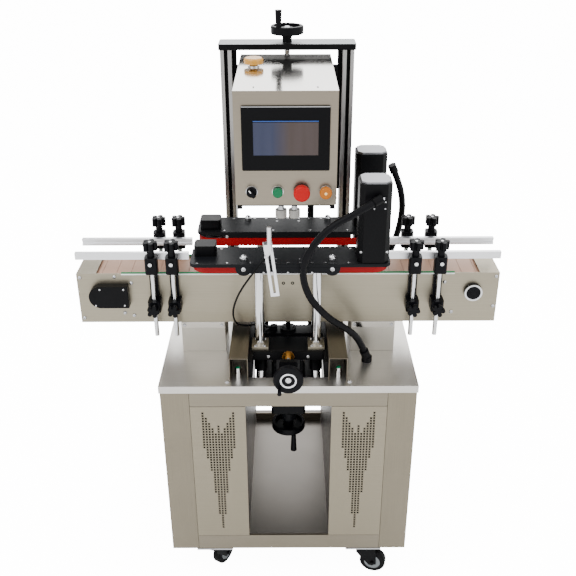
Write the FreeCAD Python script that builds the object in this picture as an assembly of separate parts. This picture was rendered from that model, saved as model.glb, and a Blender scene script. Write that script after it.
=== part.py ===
import FreeCAD, Part
import math
import os

# A bottle capping machine: a stainless cabinet on casters carries a slat-chain conveyor,
# two side-belt units that grip the bottle, and a head on two columns that turns the cap.
# Millimetres, +Z up, +X towards the outfeed, -Y towards the operator.
# Below, y = 0 is the middle of the conveyor; save() moves the origin to the middle of the box.

V = FreeCAD.Vector
X, Y, Z = V(1, 0, 0), V(0, 1, 0), V(0, 0, 1)

# cabinet
table_width = 669.0
table_depth = 610.0
table_front = -229.0
table_z = 662.0
table_lip = 21.0
sheet = 3.0
frame_inset = 2.5
post_width = 74.5
rail_depth = 40.0
upper_rail_height = 43.0
lower_rail_height = 49.0
frame_bottom = 105.0
bay_half_width = 112.0
panel_sheet = 1.5
seam = 0.8
opening_half_width = 93.0
opening_half_depth = 187.0
gland_hole_radius = 8.0
gland_foot_height = 14.0
gland_radius = 13.0

# casters
wheel_radius = 37.5
wheel_width = 26.0
caster_trail = 34.0
caster_inset_x = 122.0
caster_heading = (58.0, -14.0)
caster_inset_y = 36.0
axle_radius = 5.0
kingpin_radius = 6.0
fork_gap = 1.5
fork_sheet = 3.0
caster_plate = (100.0, 70.0, 5.0)
caster_bolt_spacing = (80.0, 50.0)
caster_bolt_hole = 4.5

# clearances
running = 0.05
loose = 0.3

# conveyor
conveyor_length = 1110.0
conveyor_width = 110.0
conveyor_top = 899.0
conveyor_height = 145.0
side_plate = 3.0
chain_radius = 50.0
chain_thickness = 5.0
chain_width = 98.0
shaft_x = 488.0
shaft_radius = 10.0
shaft_end = 5.0
bearing_radius = 23.5
motor_shaft = (-432.0, 839.0)
cover_x = (-523.0, -419.0)
cover_z = (808.0, 871.0)
cover_depth = 22.0
strip_x = 436.0
strip_height = 4.0
strip_overhang = 2.5
sprocket_offset = 10.0
sprocket_width = 8.0
stand_x = (170.0, 288.0)
stand_sheet = 2.0

# guide rails
rail_section = (12.0, 19.0)
rail_y = 45.0
rail_z = 947.0
rail_inner_x = 257.0
rail_outer_x = 553.0
post_x = ((-350.0, -297.0), (326.0, 391.0))
post_y = 81.0
post_radius = 6.0
post_bottom = 729.0
post_top = 955.0
cross_rod_radius = 5.0
clamp_size = (32.0, 30.0)
clamp_z = (915.0, 961.0)
knob_radius = 17.0
bracket_z = (804.0, 898.0)
bracket_width = 33.0

# belt units
plate_x = (-244.0, 255.0)
plate_gap_half = 47.5
plate_width = 106.5
plate_thickness = 9.0
plate_top = 972.0
plate_corner = 18.0
belt_thickness = 4.0
belt_height = 21.0
belt_gap = 8.0
belt_margin = 1.5
belt_proud = 3.5
belt_width = 81.0
bracket_half_length = 110.0
bracket_depth = 10.0
bracket_height = 16.0
lobe_radius = 20.0
guide_shaft_radius = 12.5
guide_shaft_x = 74.0
guide_shaft_y = 106.0
guide_clearance = 6.0
motor_x = {-1: (172.0, 250.0), 1: (180.0, 262.0)}
motor_depth = 75.0
motor_height = 205.0
motor_chamfer = 12.0
motor_wall = 2.0
idler_box = (55.0, 45.0, 28.0)

# width and height mechanism
carriage_half_width = 92.5
carriage_y = (62.0, 140.0)
carriage_z = (686.0, 711.0)
slide_rail_width = 11.0
flange_half = 22.0
flange_clearance = 2.0
channel_x = (104.0, 152.0)
channel_height = 65.0
channel_y = (-200.0, 200.0)
screw_radius = 7.0
width_screw_z = 698.0
screw_block_y = (190.0, 205.0)
centre_y = -20.0
hanger_x = 40.0
hanger_radius = 7.0
hanger_bottom = 440.0
hanger_foot_height = 28.0
hanger_boss_height = 24.0
lift_plate_z = (562.0, 574.0)
shaft_neck_radius = 9.0
width_open, width_close = 35.0, 12.0
front_wheel_radius = 38.0
front_handle_length = 22.0
bottom_wheel_radius = 48.0
top_wheel_radius = 45.0
rim_width = 9.0
rim_height = {"front": 18.0, "bottom": 20.0, "top": 22.0}
handwheel_hub = 18.0
handle_sink = 1.0

# head
box_size = (245.0, 410.0, 279.0)
box_centre_x = -4.0
box_wall = 2.0
box_front = -106.0
box_bottom = 1110.0
base_plate_thickness = 5.0
base_leg = (12.0, 8.0)
tail_rod_place = (66.0, 225.0)
tail_rod_radius = 9.5
tail_rod_bottom = 925.0
column_size = (32.0, 60.0)
column_outer_x = 184.0
column_guide = 12.0
column_slot = (10.0, 12.0)
column_front = 304.0
crossbar_z = (1401.0, 1417.0)
crossbar_half = 188.0
head_screw_y = 334.0
capping_wheel_radius = 15.0
capping_wheel_height = 23.0
capping_wheel_x = 17.0
capping_wheel_z = 1035.0
panel_size = (208.0, 155.0)
panel_centre = (-4.0, 1277.0)
button_x = {"selector": -87.0, "start": -24.0, "stop": 34.0, "reset": 92.0}
button_z = 1145.0
top_button_place = (-86.0, 150.0)
top_button_radius = 25.0

# sensor
sensor_tilt = -7.0
sensor_pivot = (-46.0, 1000.0)
sensor_tube_x = -45.0
sensor_tube_z = (1028.0, 1077.0)
sensor_tube_radius = 5.5

# cables
hose_diameter = 18.0
sensor_cable_diameter = 5.0
# routes, with the first and last points at their fittings
front_hose_points = [(202, -172, 1139), (152, -194, 1118), (105, -200, 1094), (71, -198, 1058),
                     (46, -193, 1015), (35, -188, 971), (41, -184, 926), (60, -178, 880),
                     (103, -168, 826), (152, -148, 784), (184, -126, 744), (201, -113, 698)]
rear_hose_points = [(286, 111, 1117), (302, 117, 1080), (314, 128, 1032), (317, 142, 980),
                    (311, 160, 920), (296, 182, 852), (277, 206, 780), (262, 225, 698)]
sensor_cable_points = [(-55, -172, 998), (-86, -172, 957), (-118, -160, 905), (-138, -135, 850),
                       (-145, -105, 800), (-138, -78, 760), (-112, -50, 738), (-80, -20, 728),
                       (-52, -18, 714)]

table_rear = table_front + table_depth
frame_front = table_front + frame_inset
frame_rear = table_rear - frame_inset
frame_side = table_width / 2 - frame_inset
frame_top = table_z - table_lip
shelf_z = frame_bottom + lower_rail_height
conveyor_bottom = conveyor_top - conveyor_height
plate_inner = conveyor_width / 2 - side_plate
chain_z = conveyor_top - 4.0 - chain_radius
plate_bottom = plate_top - plate_thickness
belt_top = plate_bottom - belt_gap
belt_outer_radius = belt_width / 2
belt_y = plate_gap_half - belt_proud + belt_outer_radius
pulley_radius = belt_outer_radius - belt_thickness - loose
pulley_x = (plate_x[0] + belt_outer_radius + belt_margin, plate_x[1] - belt_outer_radius - belt_margin)
front_wheel_y = table_front - 22.0
handle_front = front_wheel_y - rim_height["front"] / 2 + handle_sink - front_handle_length
middle_y = (handle_front + table_rear) / 2
column_y = column_front + column_size[1] / 2
box_rear = box_front + box_size[1]
box_x = (box_centre_x - box_size[0] / 2, box_centre_x + box_size[0] / 2)
box_top = box_bottom + box_size[2]
guide_inner = column_outer_x - column_size[0] - column_guide


def block(x, y, z):
    return Part.makeBox(x[1] - x[0], y[1] - y[0], z[1] - z[0], V(x[0], y[0], z[0]))


def rod(start, axis, radius, length):
    return Part.makeCylinder(radius, length, V(*start), axis)


def square_tube(x, y, z, wall, axis):
    grow = [(wall, wall), (wall, wall), (wall, wall)]
    grow["xyz".index(axis)] = (-1.0, -1.0)
    spans = [(s[0] + g[0], s[1] - g[1]) for s, g in zip((x, y, z), grow)]
    return block(x, y, z).cut(block(*spans))


def rounded_block(x, y, z, radius, axis=Z):
    solid = block(x, y, z)
    edges = [e for e in solid.Edges if abs(e.tangentAt(e.FirstParameter).dot(axis)) > 0.99]
    return solid.makeFillet(radius, edges)


def chamfered_block(x, y, z, size):
    solid = block(x, y, z)
    edges = [e for e in solid.Edges if abs(e.tangentAt(e.FirstParameter).dot(Z)) > 0.99]
    return solid.makeChamfer(size, edges)


def loop(centre_left, centre_right, radius, width, axis):
    """A closed run round two equal wheels, as a solid of the outer radius."""
    span = centre_right - centre_left
    side = V(0, 0, 1) if axis == Y else V(0, 1, 0)
    corner = centre_left - side * radius
    face = Part.makePolygon([corner, corner + span, corner + span + side * 2 * radius,
                             corner + side * 2 * radius, corner])
    solid = Part.Face(face).extrude(axis * width)
    for centre in (centre_left, centre_right):
        solid = solid.fuse(Part.makeCylinder(radius, width, centre, axis))
    return solid.removeSplitter()


def star_knob(start, axis, radius, height, lobes=5):
    """A lobed knob on a narrower neck, growing from start along axis."""
    start = V(*start)
    body = Part.makeCylinder(radius * 0.5, height, start, axis)
    side = X if abs(axis.dot(X)) < 0.5 else Z
    for i in range(lobes):
        arm = FreeCAD.Rotation(axis, 360.0 / lobes * i).multVec(side) * radius * 0.66
        body = body.fuse(Part.makeCylinder(radius * 0.34, height * 0.55, start + arm + axis * height * 0.45, axis))
    return body


def handwheel(centre, axis, radius, height, shaft_length, handle_angle, handle):
    """Rim, web and hub on a screw that runs back from the wheel, with a tapered handle on the rim."""
    centre = V(*centre)
    foot = centre - axis * height / 2
    rim = Part.makeCylinder(radius, height, foot, axis)
    rim = rim.makeFillet(3.0, [e for e in rim.Edges if e.Curve.TypeId == "Part::GeomCircle"])
    rim = rim.cut(Part.makeCylinder(radius - rim_width, height, foot, axis))
    web = Part.makeCylinder(radius - rim_width + 1, 5.0, centre - axis * 2.5, axis)
    hub = Part.makeCylinder(15.0, 24.0, centre - axis * handwheel_hub, axis)
    side = FreeCAD.Rotation(axis, handle_angle).multVec(X if abs(axis.dot(X)) < 0.5 else Z)
    base = centre + side * (radius - rim_width / 2) + axis * (height / 2 - handle_sink)
    grip = Part.makeCone(handle[0], handle[1], handle[2], base, axis)
    screw = Part.makeCylinder(screw_radius, shaft_length, centre - axis * (handwheel_hub + shaft_length), axis)
    return rim.fuse([web, hub, grip, screw]).removeSplitter()


def save(name, solids):
    shape = solids[0] if len(solids) == 1 else Part.Compound(solids)
    shape = shape.translated(V(0, -middle_y, 0))
    for solid in shape.Solids:
        if not solid.isValid():
            raise ValueError(name + " holds a solid that isn't valid")
    shape.exportStep(os.path.join("parts", name + ".step"))


def table_top():
    half = table_width / 2
    top = block((-half, half), (table_front, table_rear), (frame_top, table_z))
    top = top.cut(block((-half + sheet, half - sheet), (table_front + sheet, table_rear - sheet),
                        (frame_top - 1, table_z - sheet)))
    top = top.cut(block((-opening_half_width, opening_half_width), (-opening_half_depth, opening_half_depth),
                        (frame_top, table_z + 1)))
    for points in (front_hose_points, rear_hose_points):
        foot = gland_foot(points)
        top = top.cut(rod((foot.x, foot.y, frame_top), Z, gland_hole_radius, table_lip + 1))
    # pads inside the lip bring the top down onto the frame
    pads = [block((s * 300 - 25, s * 300 + 25), (y, y + 60), (frame_top, table_z - sheet))
            for s in (-1, 1) for y in (table_front + 10, table_rear - 70)]
    return [top.fuse(pads).removeSplitter()]


def base_frame():
    solids = []
    for sx in (-1, 1):
        outer = sx * frame_side
        face_x = sorted((outer, outer - sx * post_width))
        leg_x = sorted((outer, outer - sx * sheet))
        for y, sy in ((frame_front, 1), (frame_rear, -1)):
            face = block(face_x, sorted((y, y + sy * sheet)), (frame_bottom, frame_top))
            leg = block(leg_x, sorted((y, y + sy * post_width)), (frame_bottom, frame_top))
            solids.append(face.fuse(leg).removeSplitter())
    inner = frame_side - sheet
    half = frame_side - post_width - seam
    for z, height in ((frame_top - upper_rail_height, upper_rail_height), (frame_bottom, lower_rail_height)):
        for y, sy in ((frame_front, 1), (frame_rear, -1)):
            bar_y = sorted((y + sy * sheet, y + sy * rail_depth))
            solids.append(square_tube((-inner + seam, inner - seam), bar_y, (z, z + height), 2.0, "x"))
            solids.append(block((-half, half), sorted((y, y + sy * sheet)), (z, z + height)))
        for s in (-1, 1):
            bar_x = sorted((s * inner, s * (inner - rail_depth)))
            side_y = (frame_front + rail_depth, frame_rear - rail_depth)
            solids.append(square_tube(bar_x, side_y, (z, z + height), 2.0, "y"))
    for x, y, _ in caster_places():
        solids.append(caster_top(x, y))
    return solids


def caster_places():
    x = table_width / 2 - caster_inset_x
    front, rear = table_front + caster_inset_y, table_rear - caster_inset_y
    return ((-x, front, caster_heading[0]), (x, front, caster_heading[1]), (-x, rear, -90.0), (x, rear, -90.0))


def caster_top(x, y):
    length, width, thick = caster_plate
    top = frame_bottom
    plate = block((x - length / 2, x + length / 2), (y - width / 2, y + width / 2), (top - thick, top))
    for sx in (-1, 1):
        for sy in (-1, 1):
            hole = (x + sx * caster_bolt_spacing[0] / 2, y + sy * caster_bolt_spacing[1] / 2, top - thick - 1)
            plate = plate.cut(rod(hole, Z, caster_bolt_hole, thick + 2))
    pin = rod((x, y, top - thick - 14.0), Z, kingpin_radius, 15.0)
    return plate.fuse(pin).removeSplitter()


def caster_fork(x, y, heading):
    top = frame_bottom - caster_plate[2] - loose
    inside = wheel_width / 2 + fork_gap
    crown = rod((0, 0, top - 12.0), Z, 26.0, 12.0)
    bridge = block((-14.0, caster_trail + 8.0), (-inside - fork_sheet, inside + fork_sheet), (top - 15.0, top - 11.0))
    legs = []
    for s in (-1, 1):
        outline = Part.makePolygon([V(-14, 0, top - 11), V(caster_trail + 8, 0, top - 11),
                                    V(caster_trail + 12, 0, wheel_radius - 4),
                                    V(caster_trail - 8, 0, wheel_radius - 10), V(-14, 0, top - 30),
                                    V(-14, 0, top - 11)])
        y_in = s * inside if s > 0 else -inside - fork_sheet
        legs.append(Part.Face(outline).extrude(V(0, fork_sheet, 0)).translated(V(0, y_in, 0)))
    axle = rod((caster_trail, -inside - fork_sheet - 5, wheel_radius), Y, axle_radius,
               2 * (inside + fork_sheet + 5))
    fork = crown.fuse([bridge] + legs + [axle])
    fork = fork.cut(rod((0, 0, 0), Z, kingpin_radius + running, 200))
    return turned(fork.removeSplitter(), x, y, heading)


def turned(shape, x, y, heading):
    shape = shape.copy()
    shape.rotate(V(0, 0, 0), Z, heading)
    return shape.translated(V(x, y, 0))


def caster_wheel(x, y, heading):
    wheel = rod((caster_trail, -wheel_width / 2, wheel_radius), Y, wheel_radius, wheel_width)
    wheel = wheel.makeFillet(5.0, [e for e in wheel.Edges if e.Curve.TypeId == "Part::GeomCircle"])
    wheel = wheel.cut(rod((caster_trail, -50, wheel_radius), Y, axle_radius + running, 100))
    return turned(wheel, x, y, heading)


def cabinet_panels():
    front, rear = frame_front + rail_depth, frame_rear - rail_depth
    z = (shelf_z + sheet, frame_top - upper_rail_height)
    edge = frame_side - sheet - 1
    shelf = block((-edge, edge), (frame_front + sheet + 2, frame_rear - sheet - 2), (shelf_z, shelf_z + sheet))
    solids = [shelf]
    for s in (-1, 1):
        side = block(sorted((s * (frame_side - panel_sheet), s * frame_side)),
                     (frame_front + post_width + seam, frame_rear - post_width - seam), (frame_bottom, frame_top))
        inner = block(sorted((s * bay_half_width, s * (bay_half_width + panel_sheet))),
                      (frame_front + sheet + 2, frame_rear - sheet), z)
        back = block(sorted((s * (bay_half_width + panel_sheet), s * (frame_side - post_width))),
                     (rear + rail_depth - panel_sheet, rear + rail_depth), (shelf_z, z[1]))
        solids += [side, inner, back]
    lip = block((-bay_half_width + 1, bay_half_width - 1), (rear, rear + 2), (shelf_z + sheet, shelf_z + 30))
    return solids + [lip.translated(V(0, -20, 0))]


def vent_panels():
    y = (frame_front, frame_front + panel_sheet)
    z = (shelf_z + seam, frame_top - upper_rail_height - seam)
    outer = frame_side - post_width - seam
    return [block(sorted((s * bay_half_width, s * outer)), y, z) for s in (-1, 1)]


def conveyor_side_plates():
    half = conveyor_length / 2
    solids = []
    for s in (-1, 1):
        y = sorted((s * plate_inner, s * conveyor_width / 2))
        plate = block((-half, half), y, (conveyor_bottom, conveyor_top))
        flange = block((-half, half), sorted((s * plate_inner, s * (plate_inner - 15))),
                       (conveyor_bottom, conveyor_bottom + side_plate))
        plate = plate.fuse(flange)
        for x in (-shaft_x, shaft_x):
            plate = plate.cut(rod((x, y[0] - 1, chain_z), Y, shaft_radius + 2, side_plate + 2))
        if s < 0:
            plate = plate.cut(rod((motor_shaft[0], y[0] - 1, motor_shaft[1]), Y, 7, side_plate + 2))
        solids.append(plate.removeSplitter())
        track = block((-shaft_x + 48, shaft_x - 48), sorted((s * plate_inner, s * (plate_inner - 14))),
                      (chain_z + chain_radius - chain_thickness - 12, chain_z + chain_radius - chain_thickness - loose))
        solids.append(track)
    for x in (-400.0, 0.0, 400.0):
        solids.append(rod((x, -plate_inner, conveyor_bottom + 20), Y, 6, 2 * plate_inner))
    return solids


def conveyor_end_covers():
    half = conveyor_length / 2
    solids = []
    for s in (-1, 1):
        top = block(sorted((s * (half - 52), s * half)), (-plate_inner, plate_inner), (conveyor_top - 2, conveyor_top))
        end = block(sorted((s * (half - 2), s * half)), (-plate_inner, plate_inner),
                    (conveyor_bottom + 6, conveyor_top - 2))
        solids.append(top.fuse(end).removeSplitter())
    return solids


def conveyor_chain():
    left, right = V(-shaft_x, -chain_width / 2, chain_z), V(shaft_x, -chain_width / 2, chain_z)
    outer = loop(left, right, chain_radius, chain_width, Y)
    inner = loop(left - Y, right - Y, chain_radius - chain_thickness, chain_width + 2, Y)
    return [outer.cut(inner)]


def wear_strips():
    solids = []
    for s in (-1, 1):
        y = sorted((s * plate_inner, s * (conveyor_width / 2 + strip_overhang)))
        solids.append(block((-strip_x, strip_x), y, (conveyor_top, conveyor_top + strip_height)))
    return solids


def drive_cover():
    front = -conveyor_width / 2 - cover_depth
    radius = (cover_z[1] - cover_z[0]) / 2

    def outline(grow, depth):
        body = block((cover_x[0] + radius, cover_x[1] - grow), (front - grow + sheet, front - grow + sheet + depth),
                     (cover_z[0] + grow, cover_z[1] - grow))
        end = rod((cover_x[0] + radius, front - grow + sheet, (cover_z[0] + cover_z[1]) / 2), Y, radius - grow, depth)
        return body.fuse(end).removeSplitter()

    shell = outline(0, cover_depth).translated(V(0, -sheet, 0))
    hollow = outline(2.0, cover_depth + 5).translated(V(0, 2.0, 0))
    return [shell.cut(hollow)]


def conveyor_motor():
    """A gearmotor inside the chain loop; its shaft reaches the drive chain in the side cover."""
    x, z = motor_shaft
    right = x + 24
    gearbox = rounded_block((x - 10, right), (-38, 34), (z - 28, z + 28), 5)
    body = rod((right, 0, z), X, 27, 90)
    tip = -conveyor_width / 2 - sprocket_offset - sprocket_width
    shaft = rod((x, tip, z), Y, 5, -30 - tip)
    foot = block((x - 9, x + 12), (-plate_inner, -38), (z - 20, z - 10))
    pinion = rod((x, tip, z), Y, 9, sprocket_width)
    return [gearbox.fuse([body, shaft, foot, pinion]).removeSplitter()]


def conveyor_shaft(x, front_reach):
    shaft = rod((x, -plate_inner - side_plate - front_reach, chain_z), Y, shaft_radius,
                2 * (plate_inner + side_plate) + front_reach + shaft_end)
    wheels = [rod((x, y, chain_z), Y, chain_radius - chain_thickness - loose, 10) for y in (-25.0, 15.0)]
    return shaft.fuse(wheels).removeSplitter()


def drive_shaft():
    tip = -conveyor_width / 2 - sprocket_offset - sprocket_width
    sprocket = rod((-shaft_x, tip, chain_z), Y, 22, sprocket_width)
    shaft = conveyor_shaft(-shaft_x, sprocket_offset + sprocket_width)
    return [shaft.fuse(sprocket).removeSplitter()]


def idler_shaft():
    return [conveyor_shaft(shaft_x, shaft_end)]


def shaft_bearings():
    """Flanged bearings on the side plates; the one inside the drive cover is open at both ends."""
    solids = []
    for x in (-shaft_x, shaft_x):
        for s in (-1, 1):
            through = x < 0 and s < 0
            depth = sprocket_offset - 2 if through else 12.0
            face = s * conveyor_width / 2
            body = rod((x, face, chain_z), Y * s, bearing_radius, depth)
            bore = depth + 2 if through else depth - 3
            solids.append(body.cut(rod((x, face - s, chain_z), Y * s, shaft_radius + running, bore + 1)))
    return solids


def conveyor_stands():
    solids = []
    for s in (-1, 1):
        x = sorted((s * stand_x[0], s * stand_x[1]))
        solids.append(square_tube(x, (-conveyor_width / 2, conveyor_width / 2), (table_z, conveyor_bottom),
                                  stand_sheet, "x"))
    return solids


def guide_rail(side_x, side_y):
    """One aluminium guide rail with the two cross rods that carry it."""
    x = (rail_inner_x, rail_outer_x) if side_x > 0 else (-rail_outer_x, -rail_inner_x)
    wide, high = rail_section
    y0 = side_y * rail_y
    rail = block(x, (y0 - wide / 2, y0 + wide / 2), (rail_z - high / 2, rail_z + high / 2))
    groove_y = sorted((y0 - side_y * wide / 2, y0 - side_y * (wide / 2 - 3)))
    rail = rail.cut(block((x[0] - 1, x[1] + 1), groove_y, (rail_z - 3, rail_z + 3)))
    start = y0 + side_y * wide / 2
    length = post_y + clamp_size[1] / 2 + 9 - abs(start)
    rods = []
    for px in post_x[0 if side_x < 0 else 1]:
        if side_y > 0:
            rods.append(rod((px, start - 3, rail_z), Y, cross_rod_radius, length + 3))
        else:
            rods.append(rod((px, start + 3 - length - 3, rail_z), Y, cross_rod_radius, length + 3))
    return [rail.fuse(rods).removeSplitter()]


def rail_supports():
    """Side brackets, chromed posts, clamp heads and their knobs."""
    solids = []
    for pair in post_x:
        for x in pair:
            for s in (-1, 1):
                solids += rail_support(x, s)
    return solids


def rail_support(x, s):
    face = s * conveyor_width / 2
    post = rod((x, s * post_y, post_bottom), Z, post_radius, post_top - post_bottom)
    back_y = sorted((face, s * (post_y - post_radius - 7)))
    bracket = block((x - bracket_width / 3, x + bracket_width / 3), back_y, bracket_z)
    clamp = rounded_block((x - bracket_width / 2, x + bracket_width / 2), sorted((face, s * (post_y + 14))),
                          (bracket_z[0], bracket_z[0] + 30), 6)
    bracket = bracket.fuse(clamp).removeSplitter()
    bracket = bracket.cut(rod((x, s * post_y, 0), Z, post_radius + running, 2000))
    half_x, half_y = clamp_size[0] / 2, clamp_size[1] / 2
    head = rounded_block((x - half_x, x + half_x), (s * post_y - half_y, s * post_y + half_y), clamp_z, 7)
    head = head.cut(rod((x, s * post_y, 0), Z, post_radius + running, post_top))
    head = head.cut(rod((x, -300, rail_z), Y, cross_rod_radius + running, 600))
    post = post.cut(rod((x, -300, rail_z), Y, cross_rod_radius + loose, 600))
    top_knob = star_knob((x, s * post_y, clamp_z[1]), Z, knob_radius + 2, 41.0)
    front_knob = star_knob((x, s * (post_y + 14), bracket_z[0] + 13), Y * s, knob_radius, 22.0)
    return [post, bracket, head, top_knob, front_knob]


def slide_channels():
    """Two folded covers and the rails that the carriages slide on."""
    solids = []
    for s in (-1, 1):
        x = sorted((s * channel_x[0], s * channel_x[1]))
        outer = block(x, channel_y, (table_z, table_z + channel_height))
        hollow = block((x[0] + 1.5, x[1] - 1.5), (channel_y[0] - 1, channel_y[1] + 1),
                       (table_z - 1, table_z + channel_height - 1.5))
        solids.append(outer.cut(hollow))
        rail_x = sorted((s * opening_half_width, s * (opening_half_width + slide_rail_width)))
        solids.append(block(rail_x, (-opening_half_depth, opening_half_depth), (table_z, carriage_z[1] - flange_clearance)))
        for y in (channel_y[0] + 14, channel_y[1] - 14):
            pin = rod((s * (channel_x[0] + 26), y, table_z), Z, 7, 22).fuse(
                rod((s * (channel_x[0] + 26), y, table_z + 22), Z, 6, 8))
            solids.append(pin.removeSplitter())
    return solids


def gland_foot(points):
    """Where the leaning neck of a hose gland meets its foot on the table."""
    end = V(*points[-1])
    away = (end - V(*points[-2])).normalize()
    return end + away * ((end.z - table_z - gland_foot_height + 4) / -away.z)


def gland(points):
    end, foot = V(*points[-1]), gland_foot(points)
    neck = Part.makeCylinder(gland_radius - 1, (foot - end).Length, end, foot - end)
    nut = rod((foot.x, foot.y, table_z), Z, gland_radius + 1, gland_foot_height)
    tail = rod((foot.x, foot.y, table_z - 12), Z, gland_hole_radius - loose, 13)
    return nut.fuse([neck, tail]).removeSplitter()


def sensor_plug():
    """The socket on the centre block that the sensor cable plugs into."""
    end = V(*sensor_cable_points[-1])
    away = (end - V(*sensor_cable_points[-2])).normalize()
    neck = Part.makeCylinder(sensor_cable_diameter / 2 + 2, 12.0, end, away)
    x = (end.x + 4, end.x + 22)
    return neck.fuse(block(x, (end.y - 9, end.y + 9), (carriage_z[1] - 1, end.z + 8)))


def table_fittings():
    """Screw bearings, the fixed centre block with its hanging rods, and the hose glands."""
    solids = []
    for s in (-1, 1):
        y = sorted((s * screw_block_y[0], s * screw_block_y[1]))
        body = rounded_block((-24, 24), y, (table_z, width_screw_z + 22), 6, Y)
        solids.append(body.cut(rod((0, -400, width_screw_z), Y, screw_radius + running, 800)))
    inner = opening_half_width
    centre = block((-inner, inner), (centre_y - 24, centre_y + 24), carriage_z)
    centre = centre.cut(rod((0, -400, width_screw_z), Y, screw_radius + 1.5, 800))
    flange = rod((0, centre_y, carriage_z[1]), Z, 22, 7).fuse(rod((0, centre_y, carriage_z[1]), Z, 6, 24))
    solids.append(centre.fuse([flange, sensor_plug()]).removeSplitter())
    foot_top = hanger_bottom + hanger_foot_height
    for x in (-hanger_x, hanger_x):
        solids.append(rod((x, centre_y, foot_top), Z, hanger_radius, carriage_z[0] - foot_top))
    foot = rounded_block((-hanger_x - 9, hanger_x + 9), (centre_y - 22, centre_y + 22),
                         (hanger_bottom, foot_top), 8)
    foot = foot.fuse(rod((0, centre_y, hanger_bottom - hanger_boss_height), Z, 24, hanger_boss_height))
    solids.append(foot.cut(rod((0, centre_y, 0), Z, screw_radius + running, 900)).removeSplitter())
    return solids + [gland(front_hose_points), gland(rear_hose_points)]


def lift_plate():
    """The plate under the table that lifts all four guide shafts."""
    half_y = guide_shaft_y + width_open + 30
    plate = rounded_block((-guide_shaft_x - 17, guide_shaft_x + 17), (-half_y, half_y), lift_plate_z, 12)
    plate = plate.cut(rod((0, centre_y, 0), Z, screw_radius + running, 900))
    for x in (-hanger_x, hanger_x):
        plate = plate.cut(rod((x, centre_y, 0), Z, hanger_radius + running, 900))
    neck = shaft_neck_radius + loose
    for x in (-guide_shaft_x, guide_shaft_x):
        for s in (-1, 1):
            ends = sorted((s * (guide_shaft_y - width_close - 2), s * (guide_shaft_y + width_open + 2)))
            slot = block((x - neck, x + neck), ends, (lift_plate_z[0] - 1, lift_plate_z[1] + 1))
            for y in ends:
                slot = slot.fuse(rod((x, y, lift_plate_z[0] - 1), Z, neck, lift_plate_z[1] - lift_plate_z[0] + 2))
            plate = plate.cut(slot)
    nut = rod((0, centre_y, lift_plate_z[0] - 16), Z, 15, 16).cut(rod((0, centre_y, 0), Z, screw_radius + running, 900))
    return [plate.fuse(nut).removeSplitter()]


def front_handwheel():
    reach = screw_block_y[1] - 3 - front_wheel_y - handwheel_hub
    return [handwheel((0, front_wheel_y, width_screw_z), -Y, front_wheel_radius, rim_height["front"],
                      reach, 228.0, (4.2, 5.5, front_handle_length))]


def bottom_handwheel():
    wheel_z = hanger_bottom - hanger_boss_height - loose - handwheel_hub - 6
    reach = lift_plate_z[1] + width_open - wheel_z - handwheel_hub
    return [handwheel((0, centre_y, wheel_z), -Z, bottom_wheel_radius, rim_height["bottom"], reach,
                      70.0, (6.5, 9.0, 55.0))]


def top_handwheel():
    wheel_z = crossbar_z[1] + loose + handwheel_hub + 14
    reach = wheel_z - handwheel_hub - 1040.0
    wheel = handwheel((0, head_screw_y, wheel_z), Z, top_wheel_radius, rim_height["top"], reach, 235.0,
                      (7.0, 9.5, 46.0))
    collar = rod((0, head_screw_y, crossbar_z[1] + loose), Z, 13, 16)
    return [wheel.fuse(collar).removeSplitter()]


def head_frame():
    """Two slotted columns joined by the crossbar, with a guide rail inside each."""
    width, depth = column_size
    slot_half, slot_depth = column_slot[0] / 2, column_slot[1]
    solids = []
    for s in (-1, 1):
        x = sorted((s * column_outer_x, s * (column_outer_x - width)))
        column = block(x, (column_front, column_front + depth), (table_z, crossbar_z[0]))
        middle = (x[0] + x[1]) / 2
        for y in (column_front, column_front + depth):
            column = column.cut(block((middle - slot_half, middle + slot_half), (y - slot_depth, y + slot_depth),
                                      (table_z - 1, crossbar_z[0] + 1)))
        guide_x = sorted((s * (guide_inner + column_guide), s * guide_inner))
        guide = block(guide_x, (column_y - 9, column_y + 9), (table_z + 330, crossbar_z[0] - 6))
        solids += [column, guide]
    bar = rounded_block((-crossbar_half, crossbar_half), (column_front - 8, column_front + depth + 8), crossbar_z, 6)
    solids.append(bar.cut(rod((0, head_screw_y, crossbar_z[0] - 1), Z, screw_radius + running, 300)))
    return solids


def head_box():
    """The closed control box, with holes for its buttons and for the two cap spindles."""
    shell = block(box_x, (box_front, box_rear), (box_bottom, box_top))
    hollow = block((box_x[0] + box_wall, box_x[1] - box_wall), (box_front + box_wall, box_rear - box_wall),
                   (box_bottom + box_wall, box_top - box_wall))
    shell = shell.cut(hollow)
    for name in button_x:
        shell = shell.cut(rod((button_x[name], box_front - 5, button_z), Y, 11, 12))
    shell = shell.cut(rod((top_button_place[0], top_button_place[1], box_top - 8), Z, 11, 20))
    for x in (-capping_wheel_x, capping_wheel_x):
        shell = shell.cut(rod((x, 0, box_bottom - 3), Z, 6.5, 12))
    return [shell]


def head_carriage():
    """The plate behind the box, its runner blocks, the nut, the cap drive and the base plate under the box."""
    z = (box_bottom - 10, box_top - 30)
    pieces = []
    for s in (-1, 1):
        for z0 in (z[0] + 10, z[1] - 70):
            block_x = sorted((s * (guide_inner - loose), s * (guide_inner - 16)))
            pieces.append(block(block_x, (box_rear + 11, column_y + 14), (z0, z0 + 60)))
    pieces.append(block((-20, 20), (box_rear + 11, head_screw_y + 18), (z[0] + 120, z[0] + 160)))
    plate = block((-guide_inner + 1, guide_inner - 1), (box_rear + loose, box_rear + 12), z)
    frame = plate.fuse(pieces).removeSplitter()
    frame = frame.cut(rod((0, head_screw_y, 900), Z, screw_radius + running, 600))
    return [frame.fuse(base_plate()).removeSplitter(), cap_drive()]


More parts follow.
